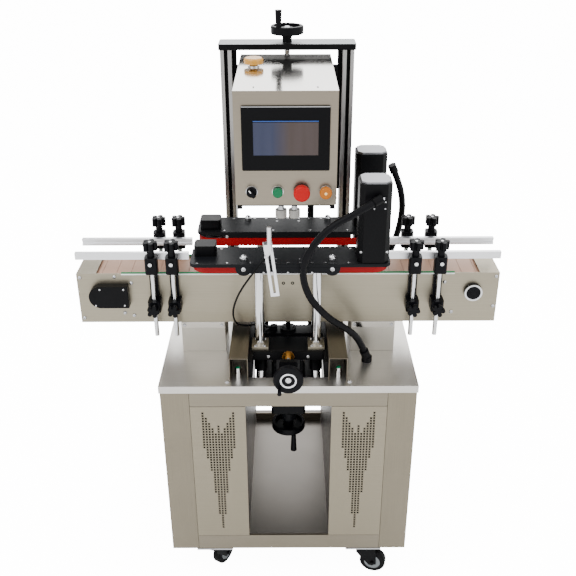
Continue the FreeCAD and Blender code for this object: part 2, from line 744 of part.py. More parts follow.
def base_plate():
    """A plate under the box with four short legs, and the rod that hangs behind the rear belt unit."""
    x = (box_x[0] + 3, box_x[1] - 3)
    y = (box_front + 6, box_rear + 12)
    top = box_bottom - loose
    bottom = top - base_plate_thickness
    plate = block(x, y, (bottom, top))
    for wheel_x in (-capping_wheel_x, capping_wheel_x):
        plate = plate.cut(rod((wheel_x, 0, bottom - 1), Z, 6.5, base_plate_thickness + 2))
    legs = []
    for leg_x in (x[0], x[1] - base_leg[0]):
        for leg_y in (y[0], box_rear - base_leg[0] - 20):
            legs.append(block((leg_x, leg_x + base_leg[0]), (leg_y, leg_y + base_leg[0]),
                              (bottom - base_leg[1], bottom)))
    stop = rod((tail_rod_place[0], tail_rod_place[1], tail_rod_bottom), Z, tail_rod_radius,
               bottom - tail_rod_bottom)
    return [plate, stop] + legs


def cap_drive():
    """The gearbox inside the box that turns both capping wheels, on its bracket."""
    floor = box_bottom + box_wall
    drive = block((-40, 40), (-22, 60), (box_bottom + 30, box_bottom + 90))
    for x in (-capping_wheel_x, capping_wheel_x):
        drive = drive.cut(rod((x, 0, box_bottom), Z, 5 + running, 120))
    foot = block((-30, 30), (60, box_rear - box_wall), (floor, box_bottom + 14))
    riser = block((-30, 30), (40, 60), (floor, box_bottom + 60))
    return drive.fuse([foot, riser]).removeSplitter()


def control_panel():
    """The display bezel and the fixed collars of the buttons."""
    width, height = panel_size
    x0, z0 = panel_centre
    bezel = rounded_block((x0 - width / 2, x0 + width / 2), (box_front - 7, box_front),
                          (z0 - height / 2, z0 + height / 2), 3, Y)
    screen = block((x0 - 77, x0 + 77), (box_front - 8, box_front - 5), (z0 - 40, z0 + 46))
    solids = [bezel.cut(screen)]
    for name in button_x:
        start = (button_x[name], box_front - 3, button_z)
        collar = rod(start, Y, 14.5, 3).cut(rod((start[0], box_front - 9, button_z), Y, 10, 30))
        solids.append(collar)
    x, y = top_button_place
    solids.append(rod((x, y, box_top), Z, 15, 3).cut(rod((x, y, box_top - 5), Z, 10, 20)))
    return solids


def push_button(name, head_radius, head_length, travel_gap):
    """A round head on a stem that passes through the panel."""
    x = button_x[name]
    back = box_front - 3 - travel_gap
    stem = rod((x, back - 1, button_z), Y, 10 - loose, 24 + travel_gap)
    head = rod((x, back - head_length, button_z), Y, head_radius, head_length)
    head = head.makeFillet(head_length * 0.35, [head.Edges[i] for i in edge_at(head, back - head_length)])
    return [head.fuse(stem).removeSplitter()]


def edge_at(solid, y):
    return [i for i, e in enumerate(solid.Edges)
            if e.Curve.TypeId == "Part::GeomCircle" and abs(e.CenterOfMass.y - y) < 0.01]


def selector_knob():
    x = button_x["selector"]
    back = box_front - 3 - loose
    disc = rod((x, back - 6, button_z), Y, 13, 6)
    stem = rod((x, back - 1, button_z), Y, 10 - loose, 24)
    grip = block((x - 4, x + 4), (back - 16, back - 5), (button_z - 12, button_z + 12))
    knob = disc.fuse([stem, grip]).removeSplitter()
    knob.rotate(V(x, back, button_z), Y, -35)
    return [knob]


def top_button():
    x, y = top_button_place
    bottom = box_top + 8
    height = 15.0
    stem = rod((x, y, bottom - 24), Z, 10 - loose, 25)
    head = rod((x, y, bottom), Z, top_button_radius, height)
    rim = [e for e in head.Edges
           if e.Curve.TypeId == "Part::GeomCircle" and abs(e.CenterOfMass.z - bottom - height) < 0.01]
    return [head.makeFillet(6, rim).fuse(stem).removeSplitter()]


def capping_wheel(x):
    wheel = rod((x, 0, capping_wheel_z), Z, capping_wheel_radius, capping_wheel_height)
    rims = [e for e in wheel.Edges if e.Curve.TypeId == "Part::GeomCircle"]
    wheel = wheel.makeFillet(3, rims)
    hub = Part.makeCone(10, 6, 12, V(x, 0, capping_wheel_z + capping_wheel_height - 1), Z)
    spindle = rod((x, 0, capping_wheel_z - 2), Z, 5, box_bottom + 80 - capping_wheel_z)
    return [wheel.fuse([hub, spindle]).removeSplitter()]


def carriage(s):
    """A carriage that slides across the table, with bearing sleeves for its two guide shafts."""
    y = sorted((s * carriage_y[0], s * carriage_y[1]))
    half = carriage_half_width
    body = block((-half, half), y, (carriage_z[0], carriage_z[1]))
    pieces = []
    for x in (-guide_shaft_x, guide_shaft_x):
        pieces.append(block((x - flange_half, x + flange_half), (s * guide_shaft_y - 25, s * guide_shaft_y + 25),
                            (carriage_z[1], carriage_z[1] + 9)))
        pieces.append(rod((x, s * guide_shaft_y, carriage_z[0] - 46), Z, 17, 47))
    nut_y = y[0] - 6 if s < 0 else y[1]
    pieces.append(rod((0, nut_y, width_screw_z), Y, 16.0, 6))
    body = body.fuse(pieces)
    body = body.cut(rod((0, -400, width_screw_z), Y, screw_radius + running, 800))
    body = body.cut(block((-18, 18), (nut_y, nut_y + 6), (carriage_z[0] - 20, carriage_z[0])))
    for x in (-guide_shaft_x, guide_shaft_x):
        body = body.cut(rod((x, s * guide_shaft_y, 0), Z, guide_shaft_radius + running, 900))
    return [body.removeSplitter()]


def belt_plate(s):
    """Top plate, front bracket, guide shafts with their necks, and the idler cover."""
    edge = plate_gap_half + plate_width
    y = sorted((s * plate_gap_half, s * edge))
    plate = rounded_block(plate_x, y, (plate_bottom, plate_top), plate_corner)
    bar_y = sorted((s * (edge - bracket_depth), s * edge))
    ends = (-bracket_half_length, bracket_half_length)
    bar = block(ends, bar_y, (plate_bottom - bracket_height, plate_bottom))
    lobes = [rod((x, bar_y[0], plate_bottom - 3), Y, lobe_radius, bracket_depth) for x in ends]
    above = block((-200, 200), (-300, 300), (plate_bottom, plate_bottom + 100))
    bracket = bar.fuse(lobes).removeSplitter().cut(above)
    solids = [plate, bracket, belt_backing(s)]
    for x in (-guide_shaft_x, guide_shaft_x):
        low = lift_plate_z[1] + loose
        shaft = rod((x, s * guide_shaft_y, low), Z, guide_shaft_radius, plate_bottom - low)
        neck = rod((x, s * guide_shaft_y, lift_plate_z[0] - loose - 8), Z, shaft_neck_radius, low - lift_plate_z[0] + 9)
        nut = rod((x, s * guide_shaft_y, lift_plate_z[0] - loose - 8), Z, 15, 8)
        solids.append(shaft.fuse([neck, nut]).removeSplitter())
    length, width, height = idler_box
    x0 = plate_x[0] + 8
    solids.append(rounded_block((x0, x0 + length), (s * belt_y - width / 2, s * belt_y + width / 2),
                                (plate_top, plate_top + height), 8))
    for x in ends:
        solids.append(rod((x, s * (edge - 24), plate_top), Z, 9, 8))
    pin_bottom = belt_top - belt_height - 2
    for x in pulley_x:
        solids.append(rod((x, s * belt_y, pin_bottom), Z, 8, plate_bottom - pin_bottom))
    return solids


def belt_backing(s):
    """The bar behind the gripping run of the belt, hung from the plate between the two pulleys."""
    inner = plate_gap_half - belt_proud + belt_thickness + loose
    x = (pulley_x[0] + pulley_radius + 6, pulley_x[1] - pulley_radius - 6)
    y = (s * inner, s * (belt_y - guide_clearance))
    return block(x, sorted(y), (belt_top - belt_height, plate_bottom))


def side_belt(s):
    left, right = [V(x, s * belt_y, belt_top - belt_height) for x in pulley_x]
    outer = loop(left, right, belt_outer_radius, belt_height, Z)
    inner = loop(left - Z, right - Z, belt_outer_radius - belt_thickness, belt_height + 2, Z)
    return [outer.cut(inner)]


def belt_pulley(x, s):
    pulley = rod((x, s * belt_y, belt_top - belt_height + 1), Z, pulley_radius, belt_height - 2)
    return [pulley.cut(rod((x, s * belt_y, 0), Z, 8 + running, 2000))]


def motor_cover(s):
    """A folded cover with its hose collar, over the motor that stands on the plate."""
    edge = plate_gap_half + plate_width
    y = sorted((s * (edge - 3), s * (edge - 3 - motor_depth)))
    top = plate_top + motor_height
    x = motor_x[s]
    cover = chamfered_block(x, y, (plate_top, top), motor_chamfer)
    cap = chamfered_block((x[0] + 4, x[1] - 4), (y[0] + 4, y[1] - 4), (top, top + 5), motor_chamfer)
    points = front_hose_points if s < 0 else rear_hose_points
    start = V(*points[0])
    away = (V(*points[1]) - start).normalize()
    collar = Part.makeCylinder(11, 24, start - away * 24, away)
    cover = cover.fuse([cap, collar])
    # three plain blocks leave the chamfered corners their thickness
    corner, flat = motor_chamfer / 2 + motor_wall, motor_chamfer + 1
    cuts = [block((x[0] + a, x[1] - a), (y[0] + b, y[1] - b), (plate_top - 1, top - motor_wall))
            for a, b in ((corner, corner), (motor_wall, flat), (flat, motor_wall))]
    hollow = cuts[0].fuse(cuts[1:])
    middle = ((x[0] + x[1]) / 2, (y[0] + y[1]) / 2, plate_top)
    return [cover.cut(hollow).removeSplitter(), rod(middle, Z, 29, 120)]


def sensor():
    """A tube sensor clamped to a slotted strip that hangs from the front bracket."""
    face = -plate_gap_half - plate_width
    y = (face - 4, face)
    strip = block((-11, 11), y, (-116, 34)).cut(block((-3.5, 3.5), (y[0] - 1, y[1] + 1), (-106, 4)))
    boss = block((-9, 9), (y[0] - 16, y[0]), (8, 34))
    holder = strip.fuse(boss)
    holder.rotate(V(0, 0, 0), Y, sensor_tilt)
    holder = holder.translated(V(sensor_pivot[0], 0, sensor_pivot[1]))
    tube = rod((sensor_tube_x, y[0] - 8, sensor_tube_z[0]), Z, sensor_tube_radius,
               sensor_tube_z[1] - sensor_tube_z[0])
    start, after = V(*sensor_cable_points[0]), V(*sensor_cable_points[1])
    neck = Part.makeCylinder(sensor_cable_diameter / 2 + 1.5, 18.0, start, start - after)
    holder = holder.fuse([tube, neck]).removeSplitter()
    drop = 50.0
    screw_x = sensor_pivot[0] - drop * math.tan(math.radians(sensor_tilt))
    screw = rod((screw_x, y[0] - 3, sensor_pivot[1] - drop), Y, 5, 3)
    return [holder, screw]


def tube_along(points, diameter, name):
    """A round tube along straight runs joined by tangent arcs."""
    pts = [V(*p) for p in points]
    edges, start, radii = [], pts[0], []
    for a, b, c in zip(pts, pts[1:], pts[2:]):
        d0, d1 = (b - a), (c - b)
        shorter = min(d0.Length, d1.Length)
        d0.normalize()
        d1.normalize()
        half = d0.getAngle(d1) / 2
        trim = 0.45 * shorter
        radius = trim / math.tan(half)
        radii.append(round(radius, 1))
        p0, p1 = b - d0 * trim, b + d1 * trim
        centre = b + (d1 - d0).normalize() * (radius / math.cos(half))
        middle = centre + (b - centre).normalize() * radius
        edges.append(Part.LineSegment(start, p0).toShape())
        edges.append(Part.Arc(p0, middle, p1).toShape())
        start = p1
    edges.append(Part.LineSegment(start, pts[-1]).toShape())
    path = Part.Wire(edges)
    ring = Part.Wire(Part.makeCircle(diameter / 2, pts[0], pts[1] - pts[0]))
    solid = path.makePipeShell([ring], True, False)
    expected = math.pi * diameter ** 2 / 4 * path.Length
    print(name, "length", round(path.Length), "radii", radii, "volume ratio", round(solid.Volume / expected, 4))
    return [solid]


def main():
    os.makedirs("parts", exist_ok=True)
    pieces = {
        "table_top": table_top(),
        "base_frame": base_frame(),
        "cabinet_panels": cabinet_panels(),
        "vent_panels": vent_panels(),
        "conveyor_side_plates": conveyor_side_plates(),
        "conveyor_end_covers": conveyor_end_covers(),
        "conveyor_chain": conveyor_chain(),
        "wear_strips": wear_strips(),
        "drive_cover": drive_cover(),
        "conveyor_motor": conveyor_motor(),
        "drive_shaft": drive_shaft(),
        "idler_shaft": idler_shaft(),
        "shaft_bearings": shaft_bearings(),
        "conveyor_stands": conveyor_stands(),
        "rail_supports": rail_supports(),
        "slide_channels": slide_channels(),
        "table_fittings": table_fittings(),
        "lift_plate": lift_plate(),
        "front_handwheel": front_handwheel(),
        "bottom_handwheel": bottom_handwheel(),
        "top_handwheel": top_handwheel(),
        "head_frame": head_frame(),
        "head_box": head_box(),
        "head_carriage": head_carriage(),
        "control_panel": control_panel(),
        "selector_knob": selector_knob(),
        "start_button": push_button("start", 12.5, 8, 4),
        "stop_button": push_button("stop", 20, 16, 5),
        "reset_button": push_button("reset", 15, 12, 4),
        "top_button": top_button(),
        "left_capping_wheel": capping_wheel(-capping_wheel_x),
        "right_capping_wheel": capping_wheel(capping_wheel_x),
        "sensor": sensor(),
        "front_hose": tube_along(front_hose_points, hose_diameter, "front_hose"),
        "rear_hose": tube_along(rear_hose_points, hose_diameter, "rear_hose"),
        "sensor_cable": tube_along(sensor_cable_points, sensor_cable_diameter, "sensor_cable"),
    }
    for name, s in (("front", -1), ("rear", 1)):
        pieces[name + "_carriage"] = carriage(s)
        pieces[name + "_belt_plate"] = belt_plate(s)
        pieces[name + "_belt"] = side_belt(s)
        pieces[name + "_motor"] = motor_cover(s)
        pieces[name + "_idler_pulley"] = belt_pulley(pulley_x[0], s)
        pieces[name + "_drive_pulley"] = belt_pulley(pulley_x[1], s)
        for side, sx in (("left", -1), ("right", 1)):
            pieces[name + "_" + side + "_guide_rail"] = guide_rail(sx, s)
    corners = ("front_left", "front_right", "rear_left", "rear_right")
    for corner, place in zip(corners, caster_places()):
        pieces[corner + "_caster_fork"] = [caster_fork(*place)]
        pieces[corner + "_caster_wheel"] = [caster_wheel(*place)]
    for name, solids in pieces.items():
        save(name, solids)
    print(len(pieces), "pieces, middle_y", middle_y)


main()
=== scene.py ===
import math

import bpy
from mathutils import Matrix, Vector


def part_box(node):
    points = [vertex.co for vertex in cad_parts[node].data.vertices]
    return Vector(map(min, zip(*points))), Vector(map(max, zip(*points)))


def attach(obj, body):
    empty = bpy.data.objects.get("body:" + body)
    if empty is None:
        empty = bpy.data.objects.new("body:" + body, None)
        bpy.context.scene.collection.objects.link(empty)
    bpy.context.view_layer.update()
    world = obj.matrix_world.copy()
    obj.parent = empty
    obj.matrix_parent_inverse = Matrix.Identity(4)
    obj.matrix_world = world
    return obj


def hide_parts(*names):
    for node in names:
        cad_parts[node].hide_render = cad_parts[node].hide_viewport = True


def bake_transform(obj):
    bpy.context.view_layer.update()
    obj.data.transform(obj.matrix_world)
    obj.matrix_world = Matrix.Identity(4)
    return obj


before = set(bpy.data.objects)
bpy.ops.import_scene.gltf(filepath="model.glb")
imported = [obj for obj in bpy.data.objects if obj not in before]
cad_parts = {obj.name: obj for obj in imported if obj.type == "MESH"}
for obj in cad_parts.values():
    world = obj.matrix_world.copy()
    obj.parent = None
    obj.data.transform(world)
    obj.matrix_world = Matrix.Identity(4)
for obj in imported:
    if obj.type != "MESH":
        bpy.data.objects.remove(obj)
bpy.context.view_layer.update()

# everything is in metres, in the frame of the part; mm() keeps sizes readable
middleY = 0.050
turnHalf = math.pi / 2


def mm(*values):
    return values[0] / 1000 if len(values) == 1 else Vector([v / 1000 for v in values])


def at(x, y, z):
    # a place given in millimetres with y counted from the middle of the conveyor
    return Vector((x / 1000, y / 1000 - middleY, z / 1000))


# light, camera and floor

studio = {"pitch": 27.2, "roll": -0.2, "lens": 51.44, "height": 1848, "distance": 1986,
          "floorSize": 60, "floorGlow": 14.0, "skyTop": 2.3, "skyHorizon": 0.8}


def linearColor(hexColor):
    channels = [int(hexColor[i:i + 2], 16) / 255 for i in (1, 3, 5)]
    return [c / 12.92 if c <= 0.04045 else ((c + 0.055) / 1.055) ** 2.4 for c in channels] + [1.0]


def addNode(tree, kind, settings=None, links=None):
    node = tree.nodes.new(kind)
    for name, value in (settings or {}).items():
        if isinstance(name, int) or name in node.inputs:
            node.inputs[name].default_value = value
        else:
            setattr(node, name, value)
    for name, source in (links or {}).items():
        tree.links.new(source, node.inputs[name])
    return node


def makeCamera():
    data = bpy.data.cameras.new("camera")
    data.lens = studio["lens"]
    data.sensor_width = 36
    data.clip_end = 100
    camera = bpy.data.objects.new("camera", data)
    bpy.context.scene.collection.objects.link(camera)
    camera.location = at(0, -studio["distance"], studio["height"])
    turn = Matrix.Rotation(math.radians(90 - studio["pitch"]), 4, "X")
    roll = Matrix.Rotation(math.radians(studio["roll"]), 4, "Z")
    camera.rotation_euler = (turn @ roll).to_euler()
    bpy.context.scene.camera = camera


def makeLights():
    world = bpy.data.worlds.new("studio")
    bpy.context.scene.world = world
    world.use_nodes = True
    # a dome that is brighter overhead than at its rim, so upright faces come out darker than level ones
    tree = world.node_tree
    background = tree.nodes["Background"]
    background.inputs["Color"].default_value = linearColor("#F6F7F8")
    direction = addNode(tree, "ShaderNodeTexCoord").outputs["Generated"]
    height = addNode(tree, "ShaderNodeSeparateXYZ", links={"Vector": direction}).outputs["Z"]
    strength = addNode(tree, "ShaderNodeMapRange", {"From Min": 0.0, "From Max": 0.45,
                                                    "To Min": studio["skyHorizon"], "To Max": studio["skyTop"]},
                       {"Value": height})
    tree.links.new(strength.outputs["Result"], background.inputs["Strength"])
    lamps = {"keySoftbox": ((-1.6, -1.9, 3.0), (0, 0, 0.9), 2.2, 62),
             "fillSoftbox": ((2.4, -1.4, 2.2), (0, 0, 0.8), 1.8, 24),
             "backSoftbox": ((0.3, 2.6, 3.0), (0, 0, 1.0), 2.6, 70)}
    for name, (place, target, size, power) in lamps.items():
        data = bpy.data.lights.new(name, "AREA")
        data.size = size
        data.energy = power
        lamp = bpy.data.objects.new(name, data)
        bpy.context.scene.collection.objects.link(lamp)
        lamp.location = place
        direction = Vector(target) - Vector(place)
        lamp.rotation_euler = direction.to_track_quat("-Z", "Y").to_euler()


def makeFloor():
    bpy.ops.mesh.primitive_plane_add(size=studio["floorSize"])
    floor = bpy.context.object
    floor.name = "floor"
    material = bpy.data.materials.new("paleFloor")
    material.use_nodes = True
    shader = material.node_tree.nodes["Principled BSDF"]
    shader.inputs["Base Color"].default_value = linearColor("#F8F8F7")
    shader.inputs["Roughness"].default_value = 0.9
    # the glow is seen by the camera alone, so the ground stays white without lighting the machine from below
    tree = material.node_tree
    seen = addNode(tree, "ShaderNodeLightPath").outputs["Is Camera Ray"]
    glow = addNode(tree, "ShaderNodeMath", {"operation": "MULTIPLY", 1: studio["floorGlow"]}, {0: seen})
    shader.inputs["Emission Color"].default_value = linearColor("#F8F8F7")
    tree.links.new(glow.outputs["Value"], shader.inputs["Emission Strength"])
    floor.data.materials.append(material)


makeCamera()
makeLights()
makeFloor()
print("studio ready")

# materials


def newMaterial(name, color, metallic=0.0, roughness=0.5, **sockets):
    material = bpy.data.materials.new(name)
    material.use_nodes = True
    shader = material.node_tree.nodes["Principled BSDF"]
    shader.inputs["Base Color"].default_value = linearColor(color)
    shader.inputs["Metallic"].default_value = metallic
    shader.inputs["Roughness"].default_value = roughness
    for socket, value in sockets.items():
        shader.inputs[socket.replace("_", " ")].default_value = value
    return material, material.node_tree, shader


def addBump(tree, shader, height, strength, distance):
    bump = addNode(tree, "ShaderNodeBump", {"Strength": strength, "Distance": distance}, {"Height": height})
    tree.links.new(bump.outputs["Normal"], shader.inputs["Normal"])


def mixColors(tree, factor, first, second):
    mix = addNode(tree, "ShaderNodeMix", {"data_type": "RGBA"})
    mix.inputs["A"].default_value = (0, 0, 0, 1)
    for socket, value in ((6, first), (7, second)):
        mix.inputs[socket].default_value = linearColor(value)
    tree.links.new(factor, mix.inputs[0])
    return mix.outputs[2]


def brushedMetal(name, light, dark, roughness, grainAxis, grain=0.5, cloud=0.25, bump=0.05):
    # sheet drawn over a belt: fine parallel scratches about 0.5 mm apart, with faint handling clouds
    material, tree, shader = newMaterial(name, light, 1.0, roughness)
    coordinates = addNode(tree, "ShaderNodeTexCoord").outputs["Object"]
    stretch = [1000 / grain] * 3
    stretch["XYZ".index(grainAxis)] = 6
    lines = addNode(tree, "ShaderNodeMapping", {"Scale": stretch}, {"Vector": coordinates})
    scratches = addNode(tree, "ShaderNodeTexNoise", {"Scale": 1.0, "Detail": 3.0, "Roughness": 0.6},
                        {"Vector": lines.outputs["Vector"]})
    clouds = addNode(tree, "ShaderNodeTexNoise", {"Scale": 9.0, "Detail": 2.0}, {"Vector": coordinates})
    blend = addNode(tree, "ShaderNodeMath", {"operation": "MULTIPLY_ADD", 1: cloud, 2: 0.5 - cloud / 2},
                    {0: clouds.outputs["Fac"]})
    both = addNode(tree, "ShaderNodeMath", {"operation": "MULTIPLY"},
                   {0: scratches.outputs["Fac"], 1: blend.outputs["Value"]})
    factor = addNode(tree, "ShaderNodeMapRange", {"From Min": 0.08, "From Max": 0.44},
                     {"Value": both.outputs["Value"]})
    tree.links.new(mixColors(tree, factor.outputs["Result"], dark, light), shader.inputs["Base Color"])
    rough = addNode(tree, "ShaderNodeMapRange", {"To Min": roughness + 0.05, "To Max": roughness - 0.04},
                    {"Value": scratches.outputs["Fac"]})
    tree.links.new(rough.outputs["Result"], shader.inputs["Roughness"])
    addBump(tree, shader, scratches.outputs["Fac"], bump, 0.0002)
    return material


def grainedPlastic(name, light, dark, roughness, grit, depth, metallic=0.0, **sockets):
    # moulded or coated skin: an even fine grain, grit in millimetres, and slightly worn high spots
    material, tree, shader = newMaterial(name, light, metallic, roughness, **sockets)
    coordinates = addNode(tree, "ShaderNodeTexCoord").outputs["Object"]
    grains = addNode(tree, "ShaderNodeTexNoise", {"Scale": 1000 / grit, "Detail": 2.0}, {"Vector": coordinates})
    wear = addNode(tree, "ShaderNodeTexNoise", {"Scale": 14.0, "Detail": 3.0}, {"Vector": coordinates})
    tree.links.new(mixColors(tree, wear.outputs["Fac"], dark, light), shader.inputs["Base Color"])
    rough = addNode(tree, "ShaderNodeMapRange", {"To Min": roughness - 0.06, "To Max": roughness + 0.08},
                    {"Value": wear.outputs["Fac"]})
    tree.links.new(rough.outputs["Result"], shader.inputs["Roughness"])
    addBump(tree, shader, grains.outputs["Fac"], 0.3, depth / 1000)
    return material


def displayGlass(name):
    # glass over an unlit liquid crystal panel, with painted reflections on it: dark blue at one side turning to brown
    # at the other, and a painted sheen in soft upright bands
    material, tree, shader = newMaterial(name, "#1B2238", 0.0, 0.16, Specular_IOR_Level=0.35)
    coordinates = addNode(tree, "ShaderNodeTexCoord").outputs["Object"]
    place = addNode(tree, "ShaderNodeSeparateXYZ", links={"Vector": coordinates}).outputs["X"]
    # painted reflection: the tint runs from blue at the left to brown at the right
    across = addNode(tree, "ShaderNodeMapRange", {"From Min": -0.035, "From Max": 0.005}, {"Value": place})
    paintedSheenStretch = addNode(tree, "ShaderNodeMapping", {"Scale": (46, 1, 4)}, {"Vector": coordinates})
    paintedSheen = addNode(tree, "ShaderNodeTexNoise", {"Scale": 1.0, "Detail": 1.0}, {"Vector": paintedSheenStretch.outputs["Vector"]})
    paintedReflectionTint = mixColors(tree, across.outputs["Result"], "#161D36", "#30241F")
    # painted sheen: the upright bands are screened over the painted reflection
    withPaintedSheen = addNode(tree, "ShaderNodeMix", {"data_type": "RGBA", "blend_type": "SCREEN", 7: linearColor("#1C1B20")},
                  {0: paintedSheen.outputs["Fac"], 6: paintedReflectionTint})
    tree.links.new(withPaintedSheen.outputs[2], shader.inputs["Base Color"])
    return material


def metal(*values, **extras):
    return brushedMetal, values, extras


def skin(*values, **sockets):
    return grainedPlastic, values, sockets


recipes = {
    # 304 sheet, hairline finish: soft warm reflections drawn out along the grain
    "hairlineSteel": metal("#857E70", "#746D60", 0.34, "X"),
    "hairlineSteelUpright": metal("#827B6C", "#716A5C", 0.34, "Z"),
    "ventSteel": metal("#8E8777", "#807868", 0.40, "X", cloud=0.1),
    "tableSteel": metal("#D2CFCA", "#B4B1AB", 0.38, "X", cloud=0.3),
    "satinSteel": metal("#979080", "#888171", 0.38, "X", grain=0.8, cloud=0.15),
    "standSteel": metal("#B9B5AC", "#A9A59C", 0.42, "Z", cloud=0.1),
    "innerSteel": metal("#6A6661", "#55524E", 0.36, "Z", cloud=0.4),
    # bright annealed sheet: nearly a mirror, with a trace of grain
    "mirrorSteel": metal("#CFCCC6", "#C6C2BB", 0.12, "X", grain=0.6, cloud=0.05, bump=0.01),
    "boxSteel": metal("#8C8375", "#7E766A", 0.33, "X", cloud=0.12),
    "chrome": metal("#D2D2D3", "#C4C4C6", 0.10, "Z", grain=1.2, cloud=0.05, bump=0.01),
    "zincScrew": metal("#C6C6C7", "#9C9C9F", 0.22, "X", grain=1.0),
    "brass": metal("#B07A34", "#80531F", 0.28, "X", grain=1.0),
    # drawn and clear anodised profile: silky, lengthwise lines
    "anodisedRail": metal("#E6E6E8", "#D9D9DC", 0.36, "X", grain=0.8, cloud=0.05, bump=0.02),
    "anodisedColumn": metal("#A6A4A3", "#969492", 0.32, "Z", grain=0.8, cloud=0.08, bump=0.02),
    "greyPlate": metal("#7F8385", "#717577", 0.34, "X", cloud=0.1),
    # black hard anodising: a dark satin skin that shows the metal's sheen only at a glance
    "blackAnodised": skin("#101114", "#0B0C0E", 0.38, 0.5, 0.02, Specular_IOR_Level=0.08),
    "powderBlack": skin("#08080A", "#040405", 0.36, 0.8, 0.05, Specular_IOR_Level=0.08),
    "blackNylon": skin("#09090D", "#050507", 0.40, 0.6, 0.04, Specular_IOR_Level=0.08),
    # near-black, also used as painted shade inside the vent holes and the column slots
    "blackAndPaintedShade": skin("#050506", "#020203", 0.5, 0.8, 0.05, Specular_IOR_Level=0.08),
    "acetalChain": skin("#A88570", "#96745F", 0.42, 1.2, 0.03, Specular_IOR_Level=0.35),
    "greenStrip": skin("#04703E", "#035A30", 0.40, 0.8, 0.02, Specular_IOR_Level=0.15),
    "whiteStrip": skin("#E2E2E0", "#D5D5D2", 0.4, 0.8, 0.02),
    "redBelt": skin("#8E0007", "#780005", 0.42, 0.9, 0.04, Specular_IOR_Level=0.12),
    "castPulley": metal("#8F8F92", "#77777B", 0.35, "Z"),
    "siliconeRoller": skin("#CFCDC8", "#BFBCB4", 0.45, 1.0, 0.03),
    "casterTread": skin("#070708", "#040405", 0.55, 0.8, 0.06, Specular_IOR_Level=0.08),
    "greenCap": skin("#00603A", "#005030", 0.28, 0.8, 0.01, Specular_IOR_Level=0.2),
    "redCap": skin("#A80003", "#900003", 0.3, 0.8, 0.01, Specular_IOR_Level=0.15),
    "amberCap": skin("#A86012", "#96520C", 0.28, 0.8, 0.01, Specular_IOR_Level=0.2),
    "goldCap": skin("#C08A2C", "#AC7820", 0.25, 0.8, 0.01),
    "conduit": skin("#08080B", "#040406", 0.38, 1.0, 0.03, Specular_IOR_Level=0.08),
    "cableJacket": skin("#060608", "#030304", 0.42, 1.0, 0.02, Specular_IOR_Level=0.08),
    "bezel": skin("#050507", "#030304", 0.45, 0.5, 0.03, Specular_IOR_Level=0.08),
    "displayGlass": (displayGlass, (), {}),
    "blueLine": skin("#1C4C9C", "#184490", 0.3, 0.5, 0.01),
    "lensAmber": skin("#EBCB93", "#DDB877", 0.2, 0.5, 0.01),
    "markerWhite": skin("#E8E8E6", "#DADAD8", 0.4, 0.5, 0.01),
}

finishes = {name: make(name, *values, **extras) for name, (make, values, extras) in recipes.items()}
print("materials ready")

# shared shaping helpers


def deselectAll():
    if bpy.context.object and bpy.context.object.mode == "EDIT":
        bpy.ops.object.mode_set(mode="OBJECT")
    bpy.ops.object.select_all(action="DESELECT")


def activate(*objects):
    deselectAll()
    for item in objects:
        item.select_set(True)
    bpy.context.view_layer.objects.active = objects[0]


def settle(item):
    # leaves the object at the origin, unturned and unscaled, with its place in its mesh
    activate(item)
    bpy.ops.object.transform_apply(location=True, rotation=True, scale=True)
    return item


def joinAll(name, items):
    activate(*items)
    if len(items) > 1:
        bpy.ops.object.join()
    result = bpy.context.object
    result.name = name
    result.data.name = name
    return settle(result)


def smoothByAngle(item, degrees=35):
    activate(item)
    bpy.ops.object.shade_smooth_by_angle(angle=math.radians(degrees))


def bevelEdges(item, width, segments=2, limit=30):
    activate(item)
    bevel = item.modifiers.new("bevel", "BEVEL")
    bevel.width = mm(width)
    bevel.segments = segments
    bevel.limit_method = "ANGLE"
    bevel.angle_limit = math.radians(limit)
    bevel.use_clamp_overlap = True
    bpy.ops.object.modifier_apply(modifier=bevel.name)


def evenNormals(item):
    # large flat faces keep their own normal, and only the bevels round off
    activate(item)
    even = item.modifiers.new("even", "WEIGHTED_NORMAL")
    even.keep_sharp = True
    bpy.ops.object.modifier_apply(modifier=even.name)


def finishPiece(item, name, body, finish, replaced=(), smooth=35):
    item.name = name
    item.data.name = name
    if smooth:
        smoothByAngle(item, smooth)
        evenNormals(item)
    settle(item)
    item.data.materials.clear()
    item.data.materials.append(finishes[finish])
    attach(item, body)
    if replaced:
        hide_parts(*replaced)
    deselectAll()
    return item


def copyNode(node):
    # a merged, flat-faced copy of a CAD node, split into its solids
    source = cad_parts[node]
    copy = bpy.data.objects.new(node + "Copy", source.data.copy())
    bpy.context.scene.collection.objects.link(copy)
    copy.data.materials.clear()
    activate(copy)
    bpy.ops.object.mode_set(mode="EDIT")
    bpy.ops.mesh.select_all(action="SELECT")
    bpy.ops.mesh.customdata_custom_splitnormals_clear()
    bpy.ops.mesh.remove_doubles(threshold=0.00001)
    bpy.ops.mesh.dissolve_limited(angle_limit=math.radians(1.0))
    bpy.ops.mesh.separate(type="LOOSE")
    bpy.ops.object.mode_set(mode="OBJECT")
    return list(bpy.context.selected_objects)


def boxOf(item):
    points = [v.co for v in item.data.vertices]
    low = Vector([min(p[i] for p in points) for i in range(3)])
    high = Vector([max(p[i] for p in points) for i in range(3)])
    return low, high


def dressNode(node, body, looks, bevel=0.8):
    # looks: (piece name, finish, test on the low and high corners in millimetres); the last takes what is left
    solids = copyNode(node)
    made = []
    for index, (name, finish, test) in enumerate(looks):
        chosen = []
        for item in list(solids):
            low, high = [1000 * (corner + Vector((0, middleY, 0))) for corner in boxOf(item)]
            if test is None or test(low, high):
                chosen.append(item)
                solids.remove(item)
        if not chosen:
            print("nothing chosen for", name)
            continue
        piece = joinAll(name, chosen)
        if bevel:
            bevelEdges(piece, bevel)
        made.append(finishPiece(piece, name, body, finish, (node,)))
    return made


# cables: the hoses from the motors to the table, and the sensor's lead

